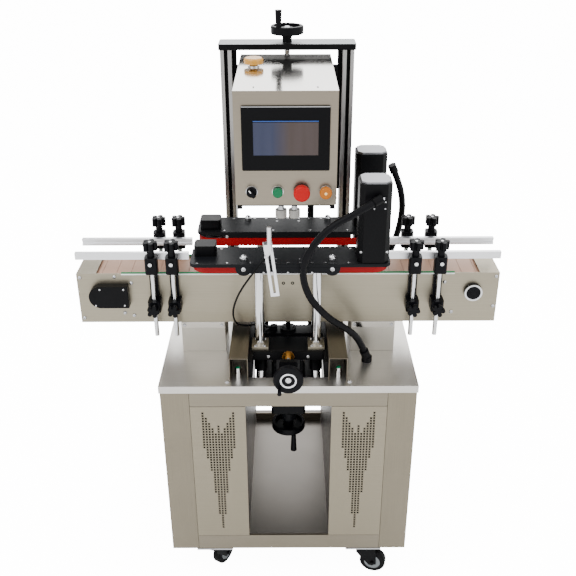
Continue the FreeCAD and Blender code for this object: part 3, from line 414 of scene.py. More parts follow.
cables = {
    "frontHose": {"diameter": 18.0, "length": 593, "body": ("front_belt_unit", "front_carriage"),
                  "points": [(202, -172, 1139), (152, -194, 1118), (105, -200, 1094), (71, -198, 1058),
                             (46, -193, 1015), (35, -188, 971), (41, -184, 926), (60, -178, 880),
                             (103, -168, 826), (152, -148, 784), (184, -126, 744), (201, -113, 698)]},
    "rearHose": {"diameter": 18.0, "length": 445, "body": ("rear_belt_unit", "rear_carriage"),
                 "points": [(286, 111, 1117), (302, 117, 1080), (314, 128, 1032), (317, 142, 980),
                            (311, 160, 920), (296, 182, 852), (277, 206, 780), (262, 225, 698)]},
    "sensorCable": {"diameter": 5.0, "length": 402, "body": ("front_belt_unit", "front_carriage"),
                    "points": [(-55, -172, 998), (-86, -172, 957), (-118, -160, 905), (-138, -135, 850),
                               (-145, -105, 800), (-138, -78, 760), (-112, -50, 738), (-80, -20, 728),
                               (-52, -18, 714)]}}


def routeCurve(points):
    data = bpy.data.curves.new("route", "CURVE")
    data.dimensions = "3D"
    data.resolution_u = 16
    spline = data.splines.new("NURBS")
    spline.points.add(len(points) - 1)
    for point, place in zip(spline.points, points):
        point.co = (*place, 1)
    spline.order_u = 3
    spline.use_endpoint_u = True
    route = bpy.data.objects.new("route", data)
    bpy.context.scene.collection.objects.link(route)
    return route


def readRoute(points):
    route = routeCurve(points)
    bpy.context.view_layer.update()
    line = bpy.data.meshes.new_from_object(route.evaluated_get(bpy.context.evaluated_depsgraph_get()))
    path = [v.co.copy() for v in line.vertices]
    bpy.data.objects.remove(route)
    return path


def sweepTube(name, path, profile, sides=20):
    # rings carried along the path without twist; profile(distance) gives the radius there
    stations, travelled = [], [0.0]
    for a, b in zip(path, path[1:]):
        travelled.append(travelled[-1] + (b - a).length)
    tangent = (path[1] - path[0]).normalized()
    side = tangent.orthogonal().normalized()
    for i, point in enumerate(path):
        nearby = path[min(i + 1, len(path) - 1)] - path[max(i - 1, 0)]
        turn = tangent.rotation_difference(nearby.normalized())
        side = (turn @ side).normalized()
        tangent = nearby.normalized()
        stations.append((point, side, tangent.cross(side)))
    vertices, faces = [], []
    for (point, across, up), distance in zip(stations, travelled):
        radius = profile(distance)
        for k in range(sides):
            angle = 2 * math.pi * k / sides
            vertices.append(point + (across * math.cos(angle) + up * math.sin(angle)) * radius)
    for i in range(len(stations) - 1):
        for k in range(sides):
            a, b = i * sides + k, i * sides + (k + 1) % sides
            faces.append((a, b, b + sides, a + sides))
    faces.append(tuple(reversed(range(sides))))
    faces.append(tuple(range((len(stations) - 1) * sides, len(stations) * sides)))
    mesh = bpy.data.meshes.new(name)
    mesh.from_pydata([tuple(v) for v in vertices], [], faces)
    tube = bpy.data.objects.new(name, mesh)
    bpy.context.scene.collection.objects.link(tube)
    activate(tube)
    bpy.ops.object.mode_set(mode="EDIT")
    bpy.ops.mesh.select_all(action="SELECT")
    bpy.ops.mesh.normals_make_consistent(inside=False)
    bpy.ops.object.mode_set(mode="OBJECT")
    return tube


def resample(path, step):
    spaced, carried = [path[0]], 0.0
    for a, b in zip(path, path[1:]):
        length = (b - a).length
        while carried + length >= step:
            share = (step - carried) / length
            a = a.lerp(b, share)
            spaced.append(a)
            length = (b - a).length
            carried = 0.0
        carried += length
    if (spaced[-1] - path[-1]).length < step / 2:
        spaced.pop()
    return spaced + [path[-1]]


def makeCables():
    for name, cable in cables.items():
        route = readRoute([at(*p) for p in cable["points"]])
        hose = cable["diameter"] > 10
        path = resample(route, mm(1.1 if hose else 4))
        radius = mm(cable["diameter"] / 2)
        pitch = mm(4.4)

        def profile(distance):
            if not hose:
                return radius
            return radius - mm(0.55) * (0.5 + 0.5 * math.cos(2 * math.pi * distance / pitch)) ** 2

        tube = sweepTube(name, path, profile, 24 if hose else 12)
        tube.data.materials.append(finishes["conduit" if hose else "cableJacket"])
        smoothByAngle(tube, 60)
        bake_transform(tube)
        node = {"frontHose": "front_hose", "rearHose": "rear_hose", "sensorCable": "sensor_cable"}[name]
        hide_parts(node)
    print("cables ready")


makeCables()


# small hardware, modelled once and copied to each place


def makeRing(name, profilePoints, steps=32):
    # a turned part: the profile is (radius, height) in millimetres, spun about Z
    mesh = bpy.data.meshes.new(name)
    vertices = [(mm(r), 0, mm(z)) for r, z in profilePoints]
    mesh.from_pydata(vertices, [(i, i + 1) for i in range(len(vertices) - 1)], [])
    turned = bpy.data.objects.new(name, mesh)
    bpy.context.scene.collection.objects.link(turned)
    activate(turned)
    bpy.ops.object.mode_set(mode="EDIT")
    bpy.ops.mesh.select_all(action="SELECT")
    bpy.ops.mesh.spin(steps=steps, angle=2 * math.pi, center=(0, 0, 0), axis=(0, 0, 1))
    bpy.ops.mesh.select_all(action="SELECT")
    bpy.ops.mesh.remove_doubles(threshold=0.000005)
    bpy.ops.mesh.normals_make_consistent(inside=False)
    bpy.ops.object.mode_set(mode="OBJECT")
    return turned


def cutSocket(item, height, radius, depth, sides=6):
    # a hexagon socket or a cross recess sunk into the top of a screw head
    bpy.ops.mesh.primitive_cylinder_add(vertices=sides, radius=mm(radius), depth=mm(2 * depth),
                                        location=(0, 0, mm(height)))
    cutter = bpy.context.object
    activate(item)
    boolean = item.modifiers.new("socket", "BOOLEAN")
    boolean.operation = "DIFFERENCE"
    boolean.object = cutter
    boolean.solver = "EXACT"
    bpy.ops.object.modifier_apply(modifier=boolean.name)
    bpy.data.objects.remove(cutter)
    return item


def domeScrew(radius):
    # button head with a socket
    h = radius * 0.62
    head = makeRing("domeScrew", [(0, h), (radius * 0.45, h), (radius * 0.8, h * 0.72), (radius * 0.97, h * 0.3),
                                  (radius, 0.12), (radius, -0.3), (0, -0.3)], 20)
    return cutSocket(head, h, radius * 0.34, radius * 0.34)


def flatScrew(radius):
    # countersunk head, almost flush, with a socket
    head = makeRing("flatScrew", [(0, 0.35), (radius * 0.9, 0.35), (radius, 0.2), (radius, -0.3), (0, -0.3)], 20)
    return cutSocket(head, 0.35, radius * 0.45, 0.5)


def capScrew(radius):
    # cylinder head with a deep socket
    h = radius * 1.15
    head = makeRing("capScrew", [(0, h), (radius * 0.85, h), (radius, h - radius * 0.15), (radius, -0.3), (0, -0.3)],
                    20)
    return cutSocket(head, h, radius * 0.52, radius * 0.6)


def hexBolt(radius):
    # hexagon head on a washer
    bpy.ops.mesh.primitive_cylinder_add(vertices=6, radius=mm(radius), depth=mm(radius * 0.7),
                                        location=(0, 0, mm(0.8 + radius * 0.35)))
    head = settle(bpy.context.object)
    bevelEdges(head, radius * 0.09, 2)
    rim, edge = radius * 1.35, radius * 1.42
    washer = makeRing("washer", [(0, 0.9), (rim, 0.9), (edge, 0.6), (edge, -0.2), (0, -0.2)], 24)
    return joinAll("hexBolt", [head, washer])


def crossScrew(radius):
    # pan head with a cross recess
    h = radius * 0.55
    head = makeRing("crossScrew", [(0, h), (radius * 0.5, h), (radius * 0.85, h * 0.7), (radius, 0.15),
                                   (radius, -0.3), (0, -0.3)], 20)
    head = cutSocket(head, h, radius * 0.55, radius * 0.22, 4)
    return head


def facing(direction):
    return Vector(direction).to_track_quat("Z", "Y").to_matrix().to_4x4()


def placeCopies(name, model, places, body, finish):
    # places: (x, y, z, direction); each copy has its own mesh, then all are joined into one piece
    copies = []
    for x, y, z, direction in places:
        copy = bpy.data.objects.new(name, model.data.copy())
        bpy.context.scene.collection.objects.link(copy)
        copy.matrix_world = Matrix.Translation(at(x, y, z)) @ facing(direction)
        copies.append(settle(copy))
    bpy.data.objects.remove(model)
    return finishPiece(joinAll(name, copies), name, body, finish, smooth=40)


def paintFaces(piece, finish, test):
    # gives the faces that pass the test a second finish; the test sees the centre in millimetres and the normal
    if finish not in [m.name for m in piece.data.materials]:
        piece.data.materials.append(finishes[finish])
    index = [m.name for m in piece.data.materials].index(finish)
    for polygon in piece.data.polygons:
        centre = 1000 * (polygon.center + Vector((0, middleY, 0)))
        if test(centre, polygon.normal):
            polygon.material_index = index


outward = {"up": (0, 0, 1), "down": (0, 0, -1), "front": (0, -1, 0), "back": (0, 1, 0), "left": (-1, 0, 0),
           "right": (1, 0, 0)}


# cabinet: table, frame, panels

cabinet = {"holePitchX": 8.0, "holePitchZ": 8.5, "holeDiameter": 5.0, "firstRowZ": 577.0,
           "firstRows": [0, 2, 4, 6, 8, 5, 8, 6, 4, 2, 0], "lastRows": [13, 17, 22, 31, 40, 46, 40, 31, 22, 17, 13],
           "panelInnerX": 112.0, "panelOuterX": 256.7, "panelBottomZ": 154.8, "panelTopZ": 597.2,
           "panelFrontY": -226.5, "panelSheet": 1.5}


def perforatedPanel(side):
    # a grid whose cells are the hole pitch; the chosen cells are inset, rounded and opened
    pitchX, pitchZ = cabinet["holePitchX"], cabinet["holePitchZ"]
    inner, outer = cabinet["panelInnerX"], cabinet["panelOuterX"]
    middle = side * (inner + outer) / 2
    columns = len(cabinet["firstRows"])
    rows = 47
    top = cabinet["firstRowZ"] + pitchZ / 2
    left = middle - columns * pitchX / 2
    half = (outer - inner) / 2
    xs = [middle - half] + [left + i * pitchX for i in range(columns + 1)] + [middle + half]
    zs = [top - rows * pitchZ + i * pitchZ for i in range(rows + 1)]
    zs = [cabinet["panelBottomZ"]] + zs + [cabinet["panelTopZ"]]
    y = cabinet["panelFrontY"]
    vertices = [tuple(at(x, y, z)) for z in zs for x in xs]
    width = len(xs)
    faces = [(r * width + c, r * width + c + 1, (r + 1) * width + c + 1, (r + 1) * width + c)
             for r in range(len(zs) - 1) for c in range(width - 1)]
    mesh = bpy.data.meshes.new("perforatedPanel")
    mesh.from_pydata(vertices, [], faces)
    panel = bpy.data.objects.new("perforatedPanel", mesh)
    bpy.context.scene.collection.objects.link(panel)
    chosen = set()
    for c in range(columns):
        for row in range(cabinet["firstRows"][c], cabinet["lastRows"][c] + 1):
            chosen.add((rows - row) * (width - 1) + (c + 1))
    activate(panel)
    bpy.ops.object.mode_set(mode="EDIT")
    bpy.ops.mesh.select_mode(type="FACE")
    bpy.ops.mesh.select_all(action="DESELECT")
    bpy.ops.object.mode_set(mode="OBJECT")
    for index in chosen:
        panel.data.polygons[index].select = True
    bpy.ops.object.mode_set(mode="EDIT")
    bpy.ops.mesh.inset(thickness=mm((pitchX - cabinet["holeDiameter"]) / 2), use_individual=True)
    bpy.ops.mesh.select_mode(type="VERT")
    bpy.ops.mesh.bevel(offset=mm(cabinet["holeDiameter"] * 0.29), segments=2, affect="VERTICES")
    bpy.ops.object.mode_set(mode="OBJECT")
    nearness = 0.5  # millimetres
    for polygon in panel.data.polygons:
        x, z = 1000 * polygon.center.x, 1000 * polygon.center.z
        offX = abs((x - left) / pitchX - 0.5 - round((x - left) / pitchX - 0.5)) * pitchX
        offZ = abs((top - z) / pitchZ - 0.5 - round((top - z) / pitchZ - 0.5)) * pitchZ
        polygon.select = offX < nearness and offZ < nearness and len(polygon.vertices) > 4
    bpy.ops.object.mode_set(mode="EDIT")
    bpy.ops.mesh.select_mode(type="FACE")
    bpy.ops.mesh.delete(type="FACE")
    bpy.ops.object.mode_set(mode="OBJECT")
    solidify = panel.modifiers.new("sheet", "SOLIDIFY")
    solidify.thickness = mm(cabinet["panelSheet"])
    solidify.offset = -1
    activate(panel)
    bpy.ops.object.modifier_apply(modifier=solidify.name)
    name = ("left" if side < 0 else "right") + "VentPanel"
    return finishPiece(panel, name, "base", "ventSteel", ("vent_panels",), smooth=30)


def makeCabinet():
    for side in (-1, 1):
        # the hole walls and the back of each sheet are painted black: painted shade inside the holes
        paintFaces(perforatedPanel(side), "blackAndPaintedShade", lambda centre, normal: normal.y > -0.5)
    dressNode("table_top", "base", [("tableTop", "tableSteel", None)], bevel=0.9)
    dressNode("base_frame", "base", [
        ("casterPlates", "zincScrew", lambda low, high: high.z < 106),
        ("posts", "hairlineSteelUpright", lambda low, high: high.z - low.z > 400),
        ("frameRails", "hairlineSteel", None)], bevel=0.8)
    dressNode("cabinet_panels", "base", [
        ("bayShelf", "innerSteel", lambda low, high: high.z - low.z < 10 and high.z < 170),
        ("bayWalls", "innerSteel", lambda low, high: high.x - low.x < 5 and abs(low.x + high.x) < 240),
        ("cabinetPanels", "hairlineSteelUpright", None)], bevel=0.4)
    print("cabinet ready")


makeCabinet()


def roundedBlock(x, y, z, radius=0.8, segments=3):
    bpy.ops.mesh.primitive_cube_add(size=1, location=at((x[0] + x[1]) / 2, (y[0] + y[1]) / 2, (z[0] + z[1]) / 2))
    item = bpy.context.object
    item.scale = (mm(abs(x[1] - x[0])), mm(abs(y[1] - y[0])), mm(abs(z[1] - z[0])))
    settle(item)
    bevelEdges(item, radius, segments)
    return item


# conveyor

conveyor = {"halfShaft": 488.0, "chainZ": 845.0, "chainRadius": 50.0, "chainWidth": 98.0, "slats": 60,
            "slatThickness": 4.5, "gap": 0.7, "stripX": 436.0}


def loopPoint(distance, radius):
    # a point on the run around both shafts; distance counts along the outer face from the left shaft's top
    straight = 2 * conveyor["halfShaft"]
    arc = math.pi * conveyor["chainRadius"]
    distance %= 2 * (straight + arc)
    if distance < straight:
        return -conveyor["halfShaft"] + distance, radius
    if distance < straight + arc:
        angle = turnHalf - (distance - straight) / conveyor["chainRadius"]
        return conveyor["halfShaft"] + radius * math.cos(angle), radius * math.sin(angle)
    if distance < 2 * straight + arc:
        return conveyor["halfShaft"] - (distance - straight - arc), -radius
    angle = -turnHalf - (distance - 2 * straight - arc) / conveyor["chainRadius"]
    return -conveyor["halfShaft"] + radius * math.cos(angle), radius * math.sin(angle)


def makeChain():
    total = 2 * (2 * conveyor["halfShaft"] + math.pi * conveyor["chainRadius"])
    pitch = total / conveyor["slats"]
    width, thick, gap = conveyor["chainWidth"], conveyor["slatThickness"], conveyor["gap"]
    slat = roundedBlock((0, pitch - gap), (-width / 2, width / 2), (-thick, 0), 0.5, 2)
    for i in range(1, 4):
        activate(slat)
        bpy.ops.object.mode_set(mode="EDIT")
        bpy.ops.mesh.select_all(action="SELECT")
        bpy.ops.mesh.bisect(plane_co=at(pitch * i / 4, 0, 0), plane_no=(1, 0, 0))
        bpy.ops.object.mode_set(mode="OBJECT")
    copies = []
    for k in range(conveyor["slats"]):
        copy = bpy.data.objects.new("slat", slat.data.copy())
        bpy.context.scene.collection.objects.link(copy)
        for vertex in copy.data.vertices:
            x, z = loopPoint(k * pitch + 1000 * vertex.co.x, conveyor["chainRadius"] + 1000 * vertex.co.z)
            vertex.co.x, vertex.co.z = mm(x), mm(conveyor["chainZ"] + z)
        copies.append(copy)
    bpy.data.objects.remove(slat)
    finishPiece(joinAll("chainSlats", copies), "chainSlats", "base", "acetalChain",
                ("conveyor_chain",), smooth=30)


def makeConveyor():
    makeChain()
    dressNode("conveyor_side_plates", "base", [
        ("chainTracks", "whiteStrip", lambda low, high: high.z - low.z < 25 and high.x - low.x > 300),
        ("crossTies", "zincScrew", lambda low, high: high.x - low.x < 30),
        ("sidePlates", "satinSteel", None)], bevel=0.5)
    dressNode("conveyor_end_covers", "base", [("endCovers", "satinSteel", None)], bevel=0.5)
    dressNode("wear_strips", "base", [("wearStrips", "greenStrip", None)], bevel=0.6)
    for side in (-1, 1):
        edge = roundedBlock((-conveyor["stripX"], conveyor["stripX"]), (side * 55.2, side * 58.4),
                            (896.5, 900.2), 0.5)
        finishPiece(edge, "stripBase" + ("Front" if side < 0 else "Rear"), "base", "whiteStrip")
    dressNode("drive_cover", "base", [("driveCover", "powderBlack", None)], bevel=1.2)
    dressNode("conveyor_motor", "base", [("conveyorMotor", "powderBlack", None)], bevel=0.8)
    dressNode("drive_shaft", "drive_shaft", [("driveShaft", "chrome", None)], bevel=0.6)
    dressNode("idler_shaft", "idler_shaft", [("idlerShaft", "chrome", None)], bevel=0.6)
    dressNode("conveyor_stands", "base", [("conveyorStands", "standSteel", None)], bevel=0.8)
    dressNode("shaft_bearings", "base", [("shaftBearings", "blackNylon", None)], bevel=1.0)
    rim = makeRing("bearingRim", [(23.5, 11.2), (23.5, 12.6), (22.9, 13.0), (19.6, 13.0), (19.0, 12.5),
                                  (19.0, 11.2)], 48)
    placeCopies("bearingRims", rim, [(488, -55, 845, outward["front"]), (488, 55, 845, outward["back"]),
                                     (-488, 55, 845, outward["back"])], "base", "chrome")
    cap = makeRing("bearingCap", [(0, 13.6), (7, 13.4), (7.6, 12.6), (11.5, 12.6), (12.2, 13.3), (16.2, 13.3),
                                  (16.8, 12.4), (19, 12.4), (19, 11.0), (0, 11.0)], 48)
    placeCopies("bearingCaps", cap, [(488, -55, 845, outward["front"]), (488, 55, 845, outward["back"]),
                                     (-488, 55, 845, outward["back"])], "base", "blackNylon")
    front = outward["front"]
    domes = [(x, -55, z, front) for x, z in ((-436, 783), (436, 783), (-412, 872), (412, 872), (-546, 888), (-546, 768),
                                             (546, 888), (546, 800), (-455, 890), (-412, 775))]
    domes += [(x, 55, z, outward["back"]) for x, z in ((-412, 872), (412, 872), (-412, 783), (412, 783), (-546, 888),
                                                      (546, 888), (-546, 768), (546, 768))]
    placeCopies("sidePlateScrews", domeScrew(5.2), domes, "base", "zincScrew")
    dark = [(x, -55, z, front) for x, z in ((-12, 870), (12, 870))]
    placeCopies("middleScrews", flatScrew(4.5), dark, "base", "blackAnodised")
    cover = [(-492, -77, 863, front), (-430, -77, 863, front), (-430, -77, 816, front), (-506, -77, 816, front)]
    placeCopies("driveCoverScrews", domeScrew(3.0), cover, "base", "zincScrew")
    for side in (-1, 1):
        strip = roundedBlock((side * 172, side * 286), (-56.4, -54.9), (736.5, 753.0), 0.5)
        finishPiece(strip, "standStrip" + ("Left" if side < 0 else "Right"), "base", "mirrorSteel")
    bolts = [(side * x, y, 745, way) for side in (-1, 1) for x in (179, 279)
             for y, way in ((-56.4, front), (55, outward["back"]))]
    placeCopies("standBolts", hexBolt(3.6), bolts, "base", "zincScrew")
    print("conveyor ready")


makeConveyor()

# guide rails and their supports


def makeGuideRails():
    for corner in ("front_left", "front_right", "rear_left", "rear_right"):
        name = "".join(word.title() for word in corner.split("_"))
        piece = dressNode(corner + "_guide_rail", corner + "_guide_rail", [("rail" + name, "anodisedRail", None)],
                          bevel=0.6)[0]
        paintFaces(piece, "chrome", lambda centre, normal: abs(centre.y) > 51.1)
    dressNode("rail_supports", "base", [
        ("railPosts", "chrome", lambda low, high: high.z - low.z > 200),
        ("railBrackets", "blackNylon", lambda low, high: low.z < 806 and high.z - low.z > 80),
        ("clampHeads", "blackNylon", lambda low, high: high.z - low.z > 44),
        ("railKnobs", "blackNylon", None)], bevel=1.0)
    tips = []
    for x in (-350, -297, 326, 391):
        for side in (-1, 1):
            tips.append((x, side * 81, 1001.8, outward["up"]))
    insert = makeRing("knobInsert", [(0, 0.6), (3.4, 0.6), (3.8, 0.1), (5.2, 0.1), (5.6, -0.4), (0, -0.4)], 24)
    placeCopies("knobInserts", insert, tips, "base", "zincScrew")
    print("guide rails ready")


makeGuideRails()

# belt units: plates, belts, motors, sensor

beltUnit = {"plateTop": 972.0, "plateEdge": 154.0}


def makeBeltUnits():
    for side, word in ((-1, "front"), (1, "rear")):
        body = word + "_belt_unit"
        title = word.title()
        dressNode(word + "_belt_plate", body, [
            ("guideShafts" + title, "chrome", lambda low, high: high.z - low.z > 300),
            ("beltPlate" + title, "blackAnodised", lambda low, high: high.x - low.x > 400),
            ("beltBracket" + title, "blackAnodised", lambda low, high: high.x - low.x > 150),
            ("idlerCover" + title, "powderBlack", lambda low, high: high.x - low.x > 40),
            ("pulleyPins" + title, "chrome", lambda low, high: high.z < 970),
            ("domeSeats" + title, "chrome", None)], bevel=0.7)
        dressNode(word + "_belt", body, [("belt" + title, "redBelt", None)], bevel=1.0)
        motor = dressNode(word + "_motor", body, [
            ("motorBody" + title, "powderBlack", lambda low, high: high.z - low.z < 130),
            ("motorCover" + title, "powderBlack", None)], bevel=0.8)
        paintFaces(motor[-1], "castPulley", lambda centre, normal: centre.z > 1177.4)
        for kind in ("idler", "drive"):
            dressNode(f"{word}_{kind}_pulley", f"{word}_{kind}_pulley",
                      [(kind + "Pulley" + title, "castPulley", None)], bevel=0.8)
        edge, top = side * beltUnit["plateEdge"], beltUnit["plateTop"]
        up, face = outward["up"], outward["front" if side < 0 else "back"]
        places = [(x, edge - side * 10, top, up) for x in (-225, -150, -92, -60, -30, 0, 30, 60, 92, 150)]
        places += [(x, side * 60, top, up) for x in (-170, -40, 60, 160)]
        places += [(x, edge - side * 30, top, up) for x in (-30, 30)]
        placeCopies("plateScrews" + title, flatScrew(3.0), places, body, "zincScrew")
        nuts = [(x, edge - side * 24, top, up) for x in (-110, 110)]
        dome = makeRing("domeNut", [(0, 15.5), (3.2, 15.0), (6.0, 13.2), (7.6, 10.2), (8.0, 8.4), (9.6, 8.0),
                                    (9.6, 6.0), (0, 6.0)], 28)
        placeCopies("domeNuts" + title, dome, nuts, body, "chrome")
        caps = [(x, edge, 958, face) for x in (-110, 110)]
        placeCopies("lobeBolts" + title, domeScrew(6.5), caps, body, "zincScrew")
        small = [(x, edge, 950, face) for x in (-60, 0, 60)]
        placeCopies("barScrews" + title, capScrew(2.6), small, body, "zincScrew")
    print("belt units ready")


def makeMotorDetails():
    front, right = outward["front"], outward["right"]
    plate = roundedBlock((204, 236), (-152.6, -150.5), (1113, 1148), 0.8)
    finishPiece(plate, "connectorPlate", "front_belt_unit", "blackNylon")
    window = roundedBlock((209, 231), (-153.2, -152.2), (1140, 1146), 0.4)
    finishPiece(window, "connectorWindow", "front_belt_unit", "anodisedRail")
    corners = [(x, -152.4, z, front) for x in (207, 233) for z in (1117, 1134)]
    placeCopies("connectorScrews", crossScrew(2.2), corners, "front_belt_unit", "zincScrew")
    low = [(179, -151, 1003, front), (243, -151, 1003, front), (250, -113, 1003, right)]
    placeCopies("coverScrews", domeScrew(3.4), low, "front_belt_unit", "zincScrew")
    lowRear = [(253, 151, 1003, outward["back"]), (189, 151, 1003, outward["back"]), (262, 113, 1003, right)]
    placeCopies("coverScrewsRear", domeScrew(3.4), lowRear, "rear_belt_unit", "zincScrew")


def makeSensor():
    dressNode("sensor", "front_belt_unit", [
        ("sensorScrew", "zincScrew", lambda low, high: high.x - low.x < 12),
        ("sensorHolder", "anodisedRail", None)], bevel=0.6)
    print("sensor ready")


makeBeltUnits()
makeMotorDetails()
makeSensor()

# width and height mechanism on and under the table


def makeMechanism():
    dressNode("slide_channels", "base", [
        ("slideCovers", "hairlineSteel", lambda low, high: high.z - low.z > 60),
        ("slideRails", "powderBlack", lambda low, high: high.y - low.y > 300),
        ("slidePins", "chrome", None)], bevel=0.5)
    cap = makeRing("pinCap", [(0, 2.2), (4.6, 2.2), (5.4, 1.6), (5.6, 0.2), (6.0, -0.3), (0, -0.3)], 24)
    placeCopies("pinCaps", cap, [(sx * 130, y, 692, outward["up"]) for sx in (-1, 1) for y in (-186, 186)], "base",
                "greenCap")
    dressNode("table_fittings", "base", [
        ("hangerRods", "chrome", lambda low, high: high.z - low.z > 200 and high.x - low.x < 20),
        ("hangerFoot", "blackAnodised", lambda low, high: high.z < 480),
        ("hoseGlands", "blackNylon", lambda low, high: abs(low.x + high.x) > 100),
        ("screwBlocks", "powderBlack", lambda low, high: abs(low.y + high.y) > 300),
        ("centreBlock", "powderBlack", None)], bevel=0.7)
    dressNode("lift_plate", "lift_plate", [("liftPlate", "blackAnodised", None)], bevel=0.8)
    for side, word in ((-1, "front"), (1, "rear")):
        body = word + "_carriage"
        piece = dressNode(word + "_carriage", body, [(body.title().replace("_", ""), "powderBlack", None)], bevel=0.7)[0]
        paintFaces(piece, "satinSteel", lambda centre, normal: centre.z > 711.3)
        paintFaces(piece, "brass", lambda centre, normal: abs(centre.x) < 16.5 and 682 < centre.z < 714
                   and (abs(centre.y) < 61.9 or abs(centre.y) > 140.1) and abs(centre.z - 698) < 16.2)
        bolts = [(sx * 74 + dx, side * 106 + dy, 720, outward["up"]) for sx in (-1, 1) for dx in (-12, 12)
                 for dy in (-19, 19)]
        placeCopies(word + "FlangeBolts", hexBolt(3.2), bolts, body, "zincScrew")
        ends = [(x, side * 140, 698, outward["front" if side < 0 else "back"]) for x in (-52, 52)]
        placeCopies(word + "CarriageBolts", capScrew(4.0), ends, body, "zincScrew")
    stub = [(-14, -20, 718, outward["up"]), (14, -20, 718, outward["up"])]
    placeCopies("stubScrews", capScrew(2.6), stub, "base", "zincScrew")
    washer = [(side * 158, -207, 662, outward["up"]) for side in (-1, 1)]
    placeCopies("tableBolts", hexBolt(4.5), washer, "base", "zincScrew")
    print("mechanism ready")


makeMechanism()

# handwheels

wheels = {"front": {"centre": (0, -251, 698), "axis": "front", "radius": 38, "body": "front_handwheel"},
          "bottom": {"centre": (0, -20, 391.7), "axis": "down", "radius": 48, "body": "bottom_handwheel"},
          "top": {"centre": (0, 334, 1449.3), "axis": "up", "radius": 45, "body": "top_handwheel"}}


def makeHandwheels():
    for name, wheel in wheels.items():
        node = name + "_handwheel"
        piece = dressNode(node, node, [(name + "Handwheel", "blackNylon", None)], bevel=0.6)[0]
        centre = Vector(wheel["centre"])
        axis = Vector(outward[wheel["axis"]])
        paintFaces(piece, "chrome", lambda spot, normal: (
            (spot - centre).dot(axis) < -18.4 and ((spot - centre) - axis * (spot - centre).dot(axis)).length < 7.4))
    front, centreNut = outward["front"], [(0, 9.5), (4.0, 9.2), (6.5, 8.4), (8.0, 6.6), (8.2, 5.6), (0, 5.6)]
    ring = makeRing("handwheelRing", [(17.0, 2.0), (17.0, 8.6), (17.6, 9.2), (20.6, 9.2), (21.2, 8.6),
                                      (21.2, 2.0)], 48)
    placeCopies("frontWheelRing", ring, [(0, -251, 698, front)], "front_handwheel", "anodisedRail")
    cover = makeRing("handwheelFace", [(20.9, 2.0), (20.9, 8.0), (29.4, 8.6), (30.4, 8.2), (30.4, 2.0)], 48)
    placeCopies("frontWheelFace", cover, [(0, -251, 698, front)], "front_handwheel", "blackNylon")
    placeCopies("frontWheelNut", makeRing("wheelNut", centreNut, 28), [(0, -251, 698, front)], "front_handwheel",
                "chrome")
    placeCopies("topWheelNut", makeRing("wheelNut", centreNut, 28), [(0, 334, 1449.3, outward["up"])],
                "top_handwheel", "chrome")
    print("handwheels ready")


makeHandwheels()

# head: columns, crossbar, box, panel and buttons


head = {"columnMiddle": 168.0, "slotHalf": 5.0, "columnY": 334.0, "boxTop": 1389.0, "screenLeft": -81.0,
        "screenRight": 73.0, "screenBottom": 1237.0, "screenTop": 1323.0, "recessY": -111.0, "bezelY": -113.0}


def makeDisplay():
    left, right, deep = head["screenLeft"] + 0.2, head["screenRight"] - 0.2, head["recessY"]
    glass = roundedBlock((left, right), (deep - 1.2, deep), (head["screenBottom"] + 0.2, head["screenTop"] - 6), 0.3)
    finishPiece(glass, "displayGlass", "head", "displayGlass")
    rest = roundedBlock((left, right), (deep - 1.6, deep), (head["screenTop"] - 5.8, head["screenTop"] - 0.2), 0.3)
    finishPiece(rest, "displayBorder", "head", "bezel")
    line = roundedBlock((left, right), (deep - 1.8, deep - 1.5),
                        (head["screenTop"] - 4.2, head["screenTop"] - 2.6), 0.1)
    finishPiece(line, "displayLine", "head", "blueLine")
    # a thin zinc strip along the top of the bezel: a painted highlight standing in for the light caught by that edge
    rim = roundedBlock((-107, 99), (head["bezelY"] - 0.3, head["bezelY"] + 3), (1352.6, 1354.4), 0.3)
    finishPiece(rim, "bezelHighlightStrip", "head", "zincScrew")
    # the selector's marker, turned with its grip
    bpy.ops.mesh.primitive_cube_add(size=1)
    marker = bpy.context.object
    marker.scale = (mm(2.2), mm(0.6), mm(8.0))
    settle(marker)
    bevelEdges(marker, 0.2, 2)
    marker.matrix_world = Matrix.Translation(at(-87, -125.2, 1145)) @ Matrix.Rotation(math.radians(-35), 4, "Y") @ (
        Matrix.Translation((0, 0, mm(6.5))))
    finishPiece(settle(marker), "selectorMarker", "selector_knob", "markerWhite")
    lens = makeRing("buttonLens", [(0, 0.9), (2.6, 0.7), (3.4, 0.3), (3.8, -0.4), (0, -0.4)], 24)
    face = 1000 * (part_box("reset_button")[0][1] + middleY)
    placeCopies("resetLens", lens, [(92, face, 1145, outward["front"])], "reset_button", "lensAmber")


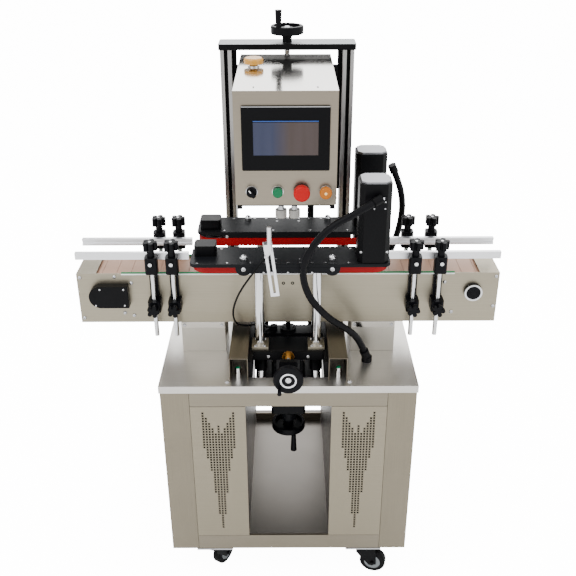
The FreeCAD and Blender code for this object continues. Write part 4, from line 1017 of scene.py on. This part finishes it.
def makeHead():
    parts = dressNode("head_frame", "base", [
        ("headGuides", "blackAndPaintedShade", lambda low, high: high.x - low.x < 14),
        ("columns", "anodisedColumn", lambda low, high: high.z - low.z > 400),
        ("crossbar", "powderBlack", None)], bevel=0.8)
    slotMiddle, slotReach = head["columnMiddle"], head["slotHalf"] + 0.3
    # the faces inside the columns' slots are painted black: painted shade in the slots
    paintFaces(parts[1], "blackAndPaintedShade", lambda centre, normal: abs(abs(centre.x) - slotMiddle) < slotReach
               and abs(centre.y - head["columnY"]) < 29.5)
    paintFaces(parts[2], "greyPlate", lambda centre, normal: normal.z > 0.6)
    box = dressNode("head_box", "head", [("headBox", "boxSteel", None)], bevel=0.8)[0]
    paintFaces(box, "mirrorSteel", lambda centre, normal: normal.z > 0.7)
    dressNode("head_carriage", "head", [("headCarriage", "powderBlack", None)], bevel=0.6)
    dressNode("control_panel", "head", [
        ("panelBezel", "bezel", lambda low, high: high.x - low.x > 100),
        ("buttonCollars", "chrome", None)], bevel=0.6)
    for name, finish, slotName in (
            ("selector_knob", "blackNylon", "black_plastic"), ("start_button", "greenCap", "green_cap"),
            ("stop_button", "redCap", "red_cap"), ("reset_button", "amberCap", "amber_cap"),
            ("top_button", "goldCap", "gold_cap")):
        words = name.split("_")
        dressNode(name, name, [(words[0] + words[1].title(), finish, None)], bevel=0.7)
    for side in ("left", "right"):
        wheel = dressNode(side + "_capping_wheel", side + "_capping_wheel",
                          [(side + "CappingWheel", "siliconeRoller", None)], bevel=0.5)[0]
        paintFaces(wheel, "chrome", lambda centre, normal: centre.z > 1058.3)
    makeDisplay()
    screws = [(x, y, head["boxTop"], outward["up"]) for x in (-79, 71) for y in (-77, -68)]
    placeCopies("boxScrews", flatScrew(2.2), screws, "head", "blackAnodised")
    placeCopies("sideScrew", domeScrew(3.0), [(118.5, -96, 1124, outward["right"])], "head", "zincScrew")
    print("head ready")


makeHead()

# casters

casters = {"front_left": 58, "front_right": -14, "rear_left": -90, "rear_right": -90}  # heading in degrees


def makeCasters():
    for corner, heading in casters.items():
        name = "".join(word.title() for word in corner.split("_"))
        dressNode(corner + "_caster_fork", corner + "_caster_fork", [("fork" + name, "powderBlack", None)],
                  bevel=0.5)
        dressNode(corner + "_caster_wheel", corner + "_caster_wheel", [("wheel" + name, "casterTread", None)],
                  bevel=0.8)
        low, high = [Vector(place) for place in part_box(corner + "_caster_wheel")]
        middle = 1000 * (low + high) / 2
        axle = Vector((-math.sin(math.radians(heading)), math.cos(math.radians(heading)), 0))
        hub = makeRing("wheelHub", [(5.4, 13.6), (8.0, 14.2), (9.0, 13.9), (19.0, 13.4), (21.0, 13.9), (23.0, 13.7),
                                    (23.6, 12.4), (5.4, 12.4)], 40)
        places = [(middle.x, middle.y + 1000 * middleY, middle.z, way) for way in (axle, -axle)]
        placeCopies("hub" + name, hub, places, corner + "_caster_wheel", "greyPlate")
    print("casters ready")


makeCasters()
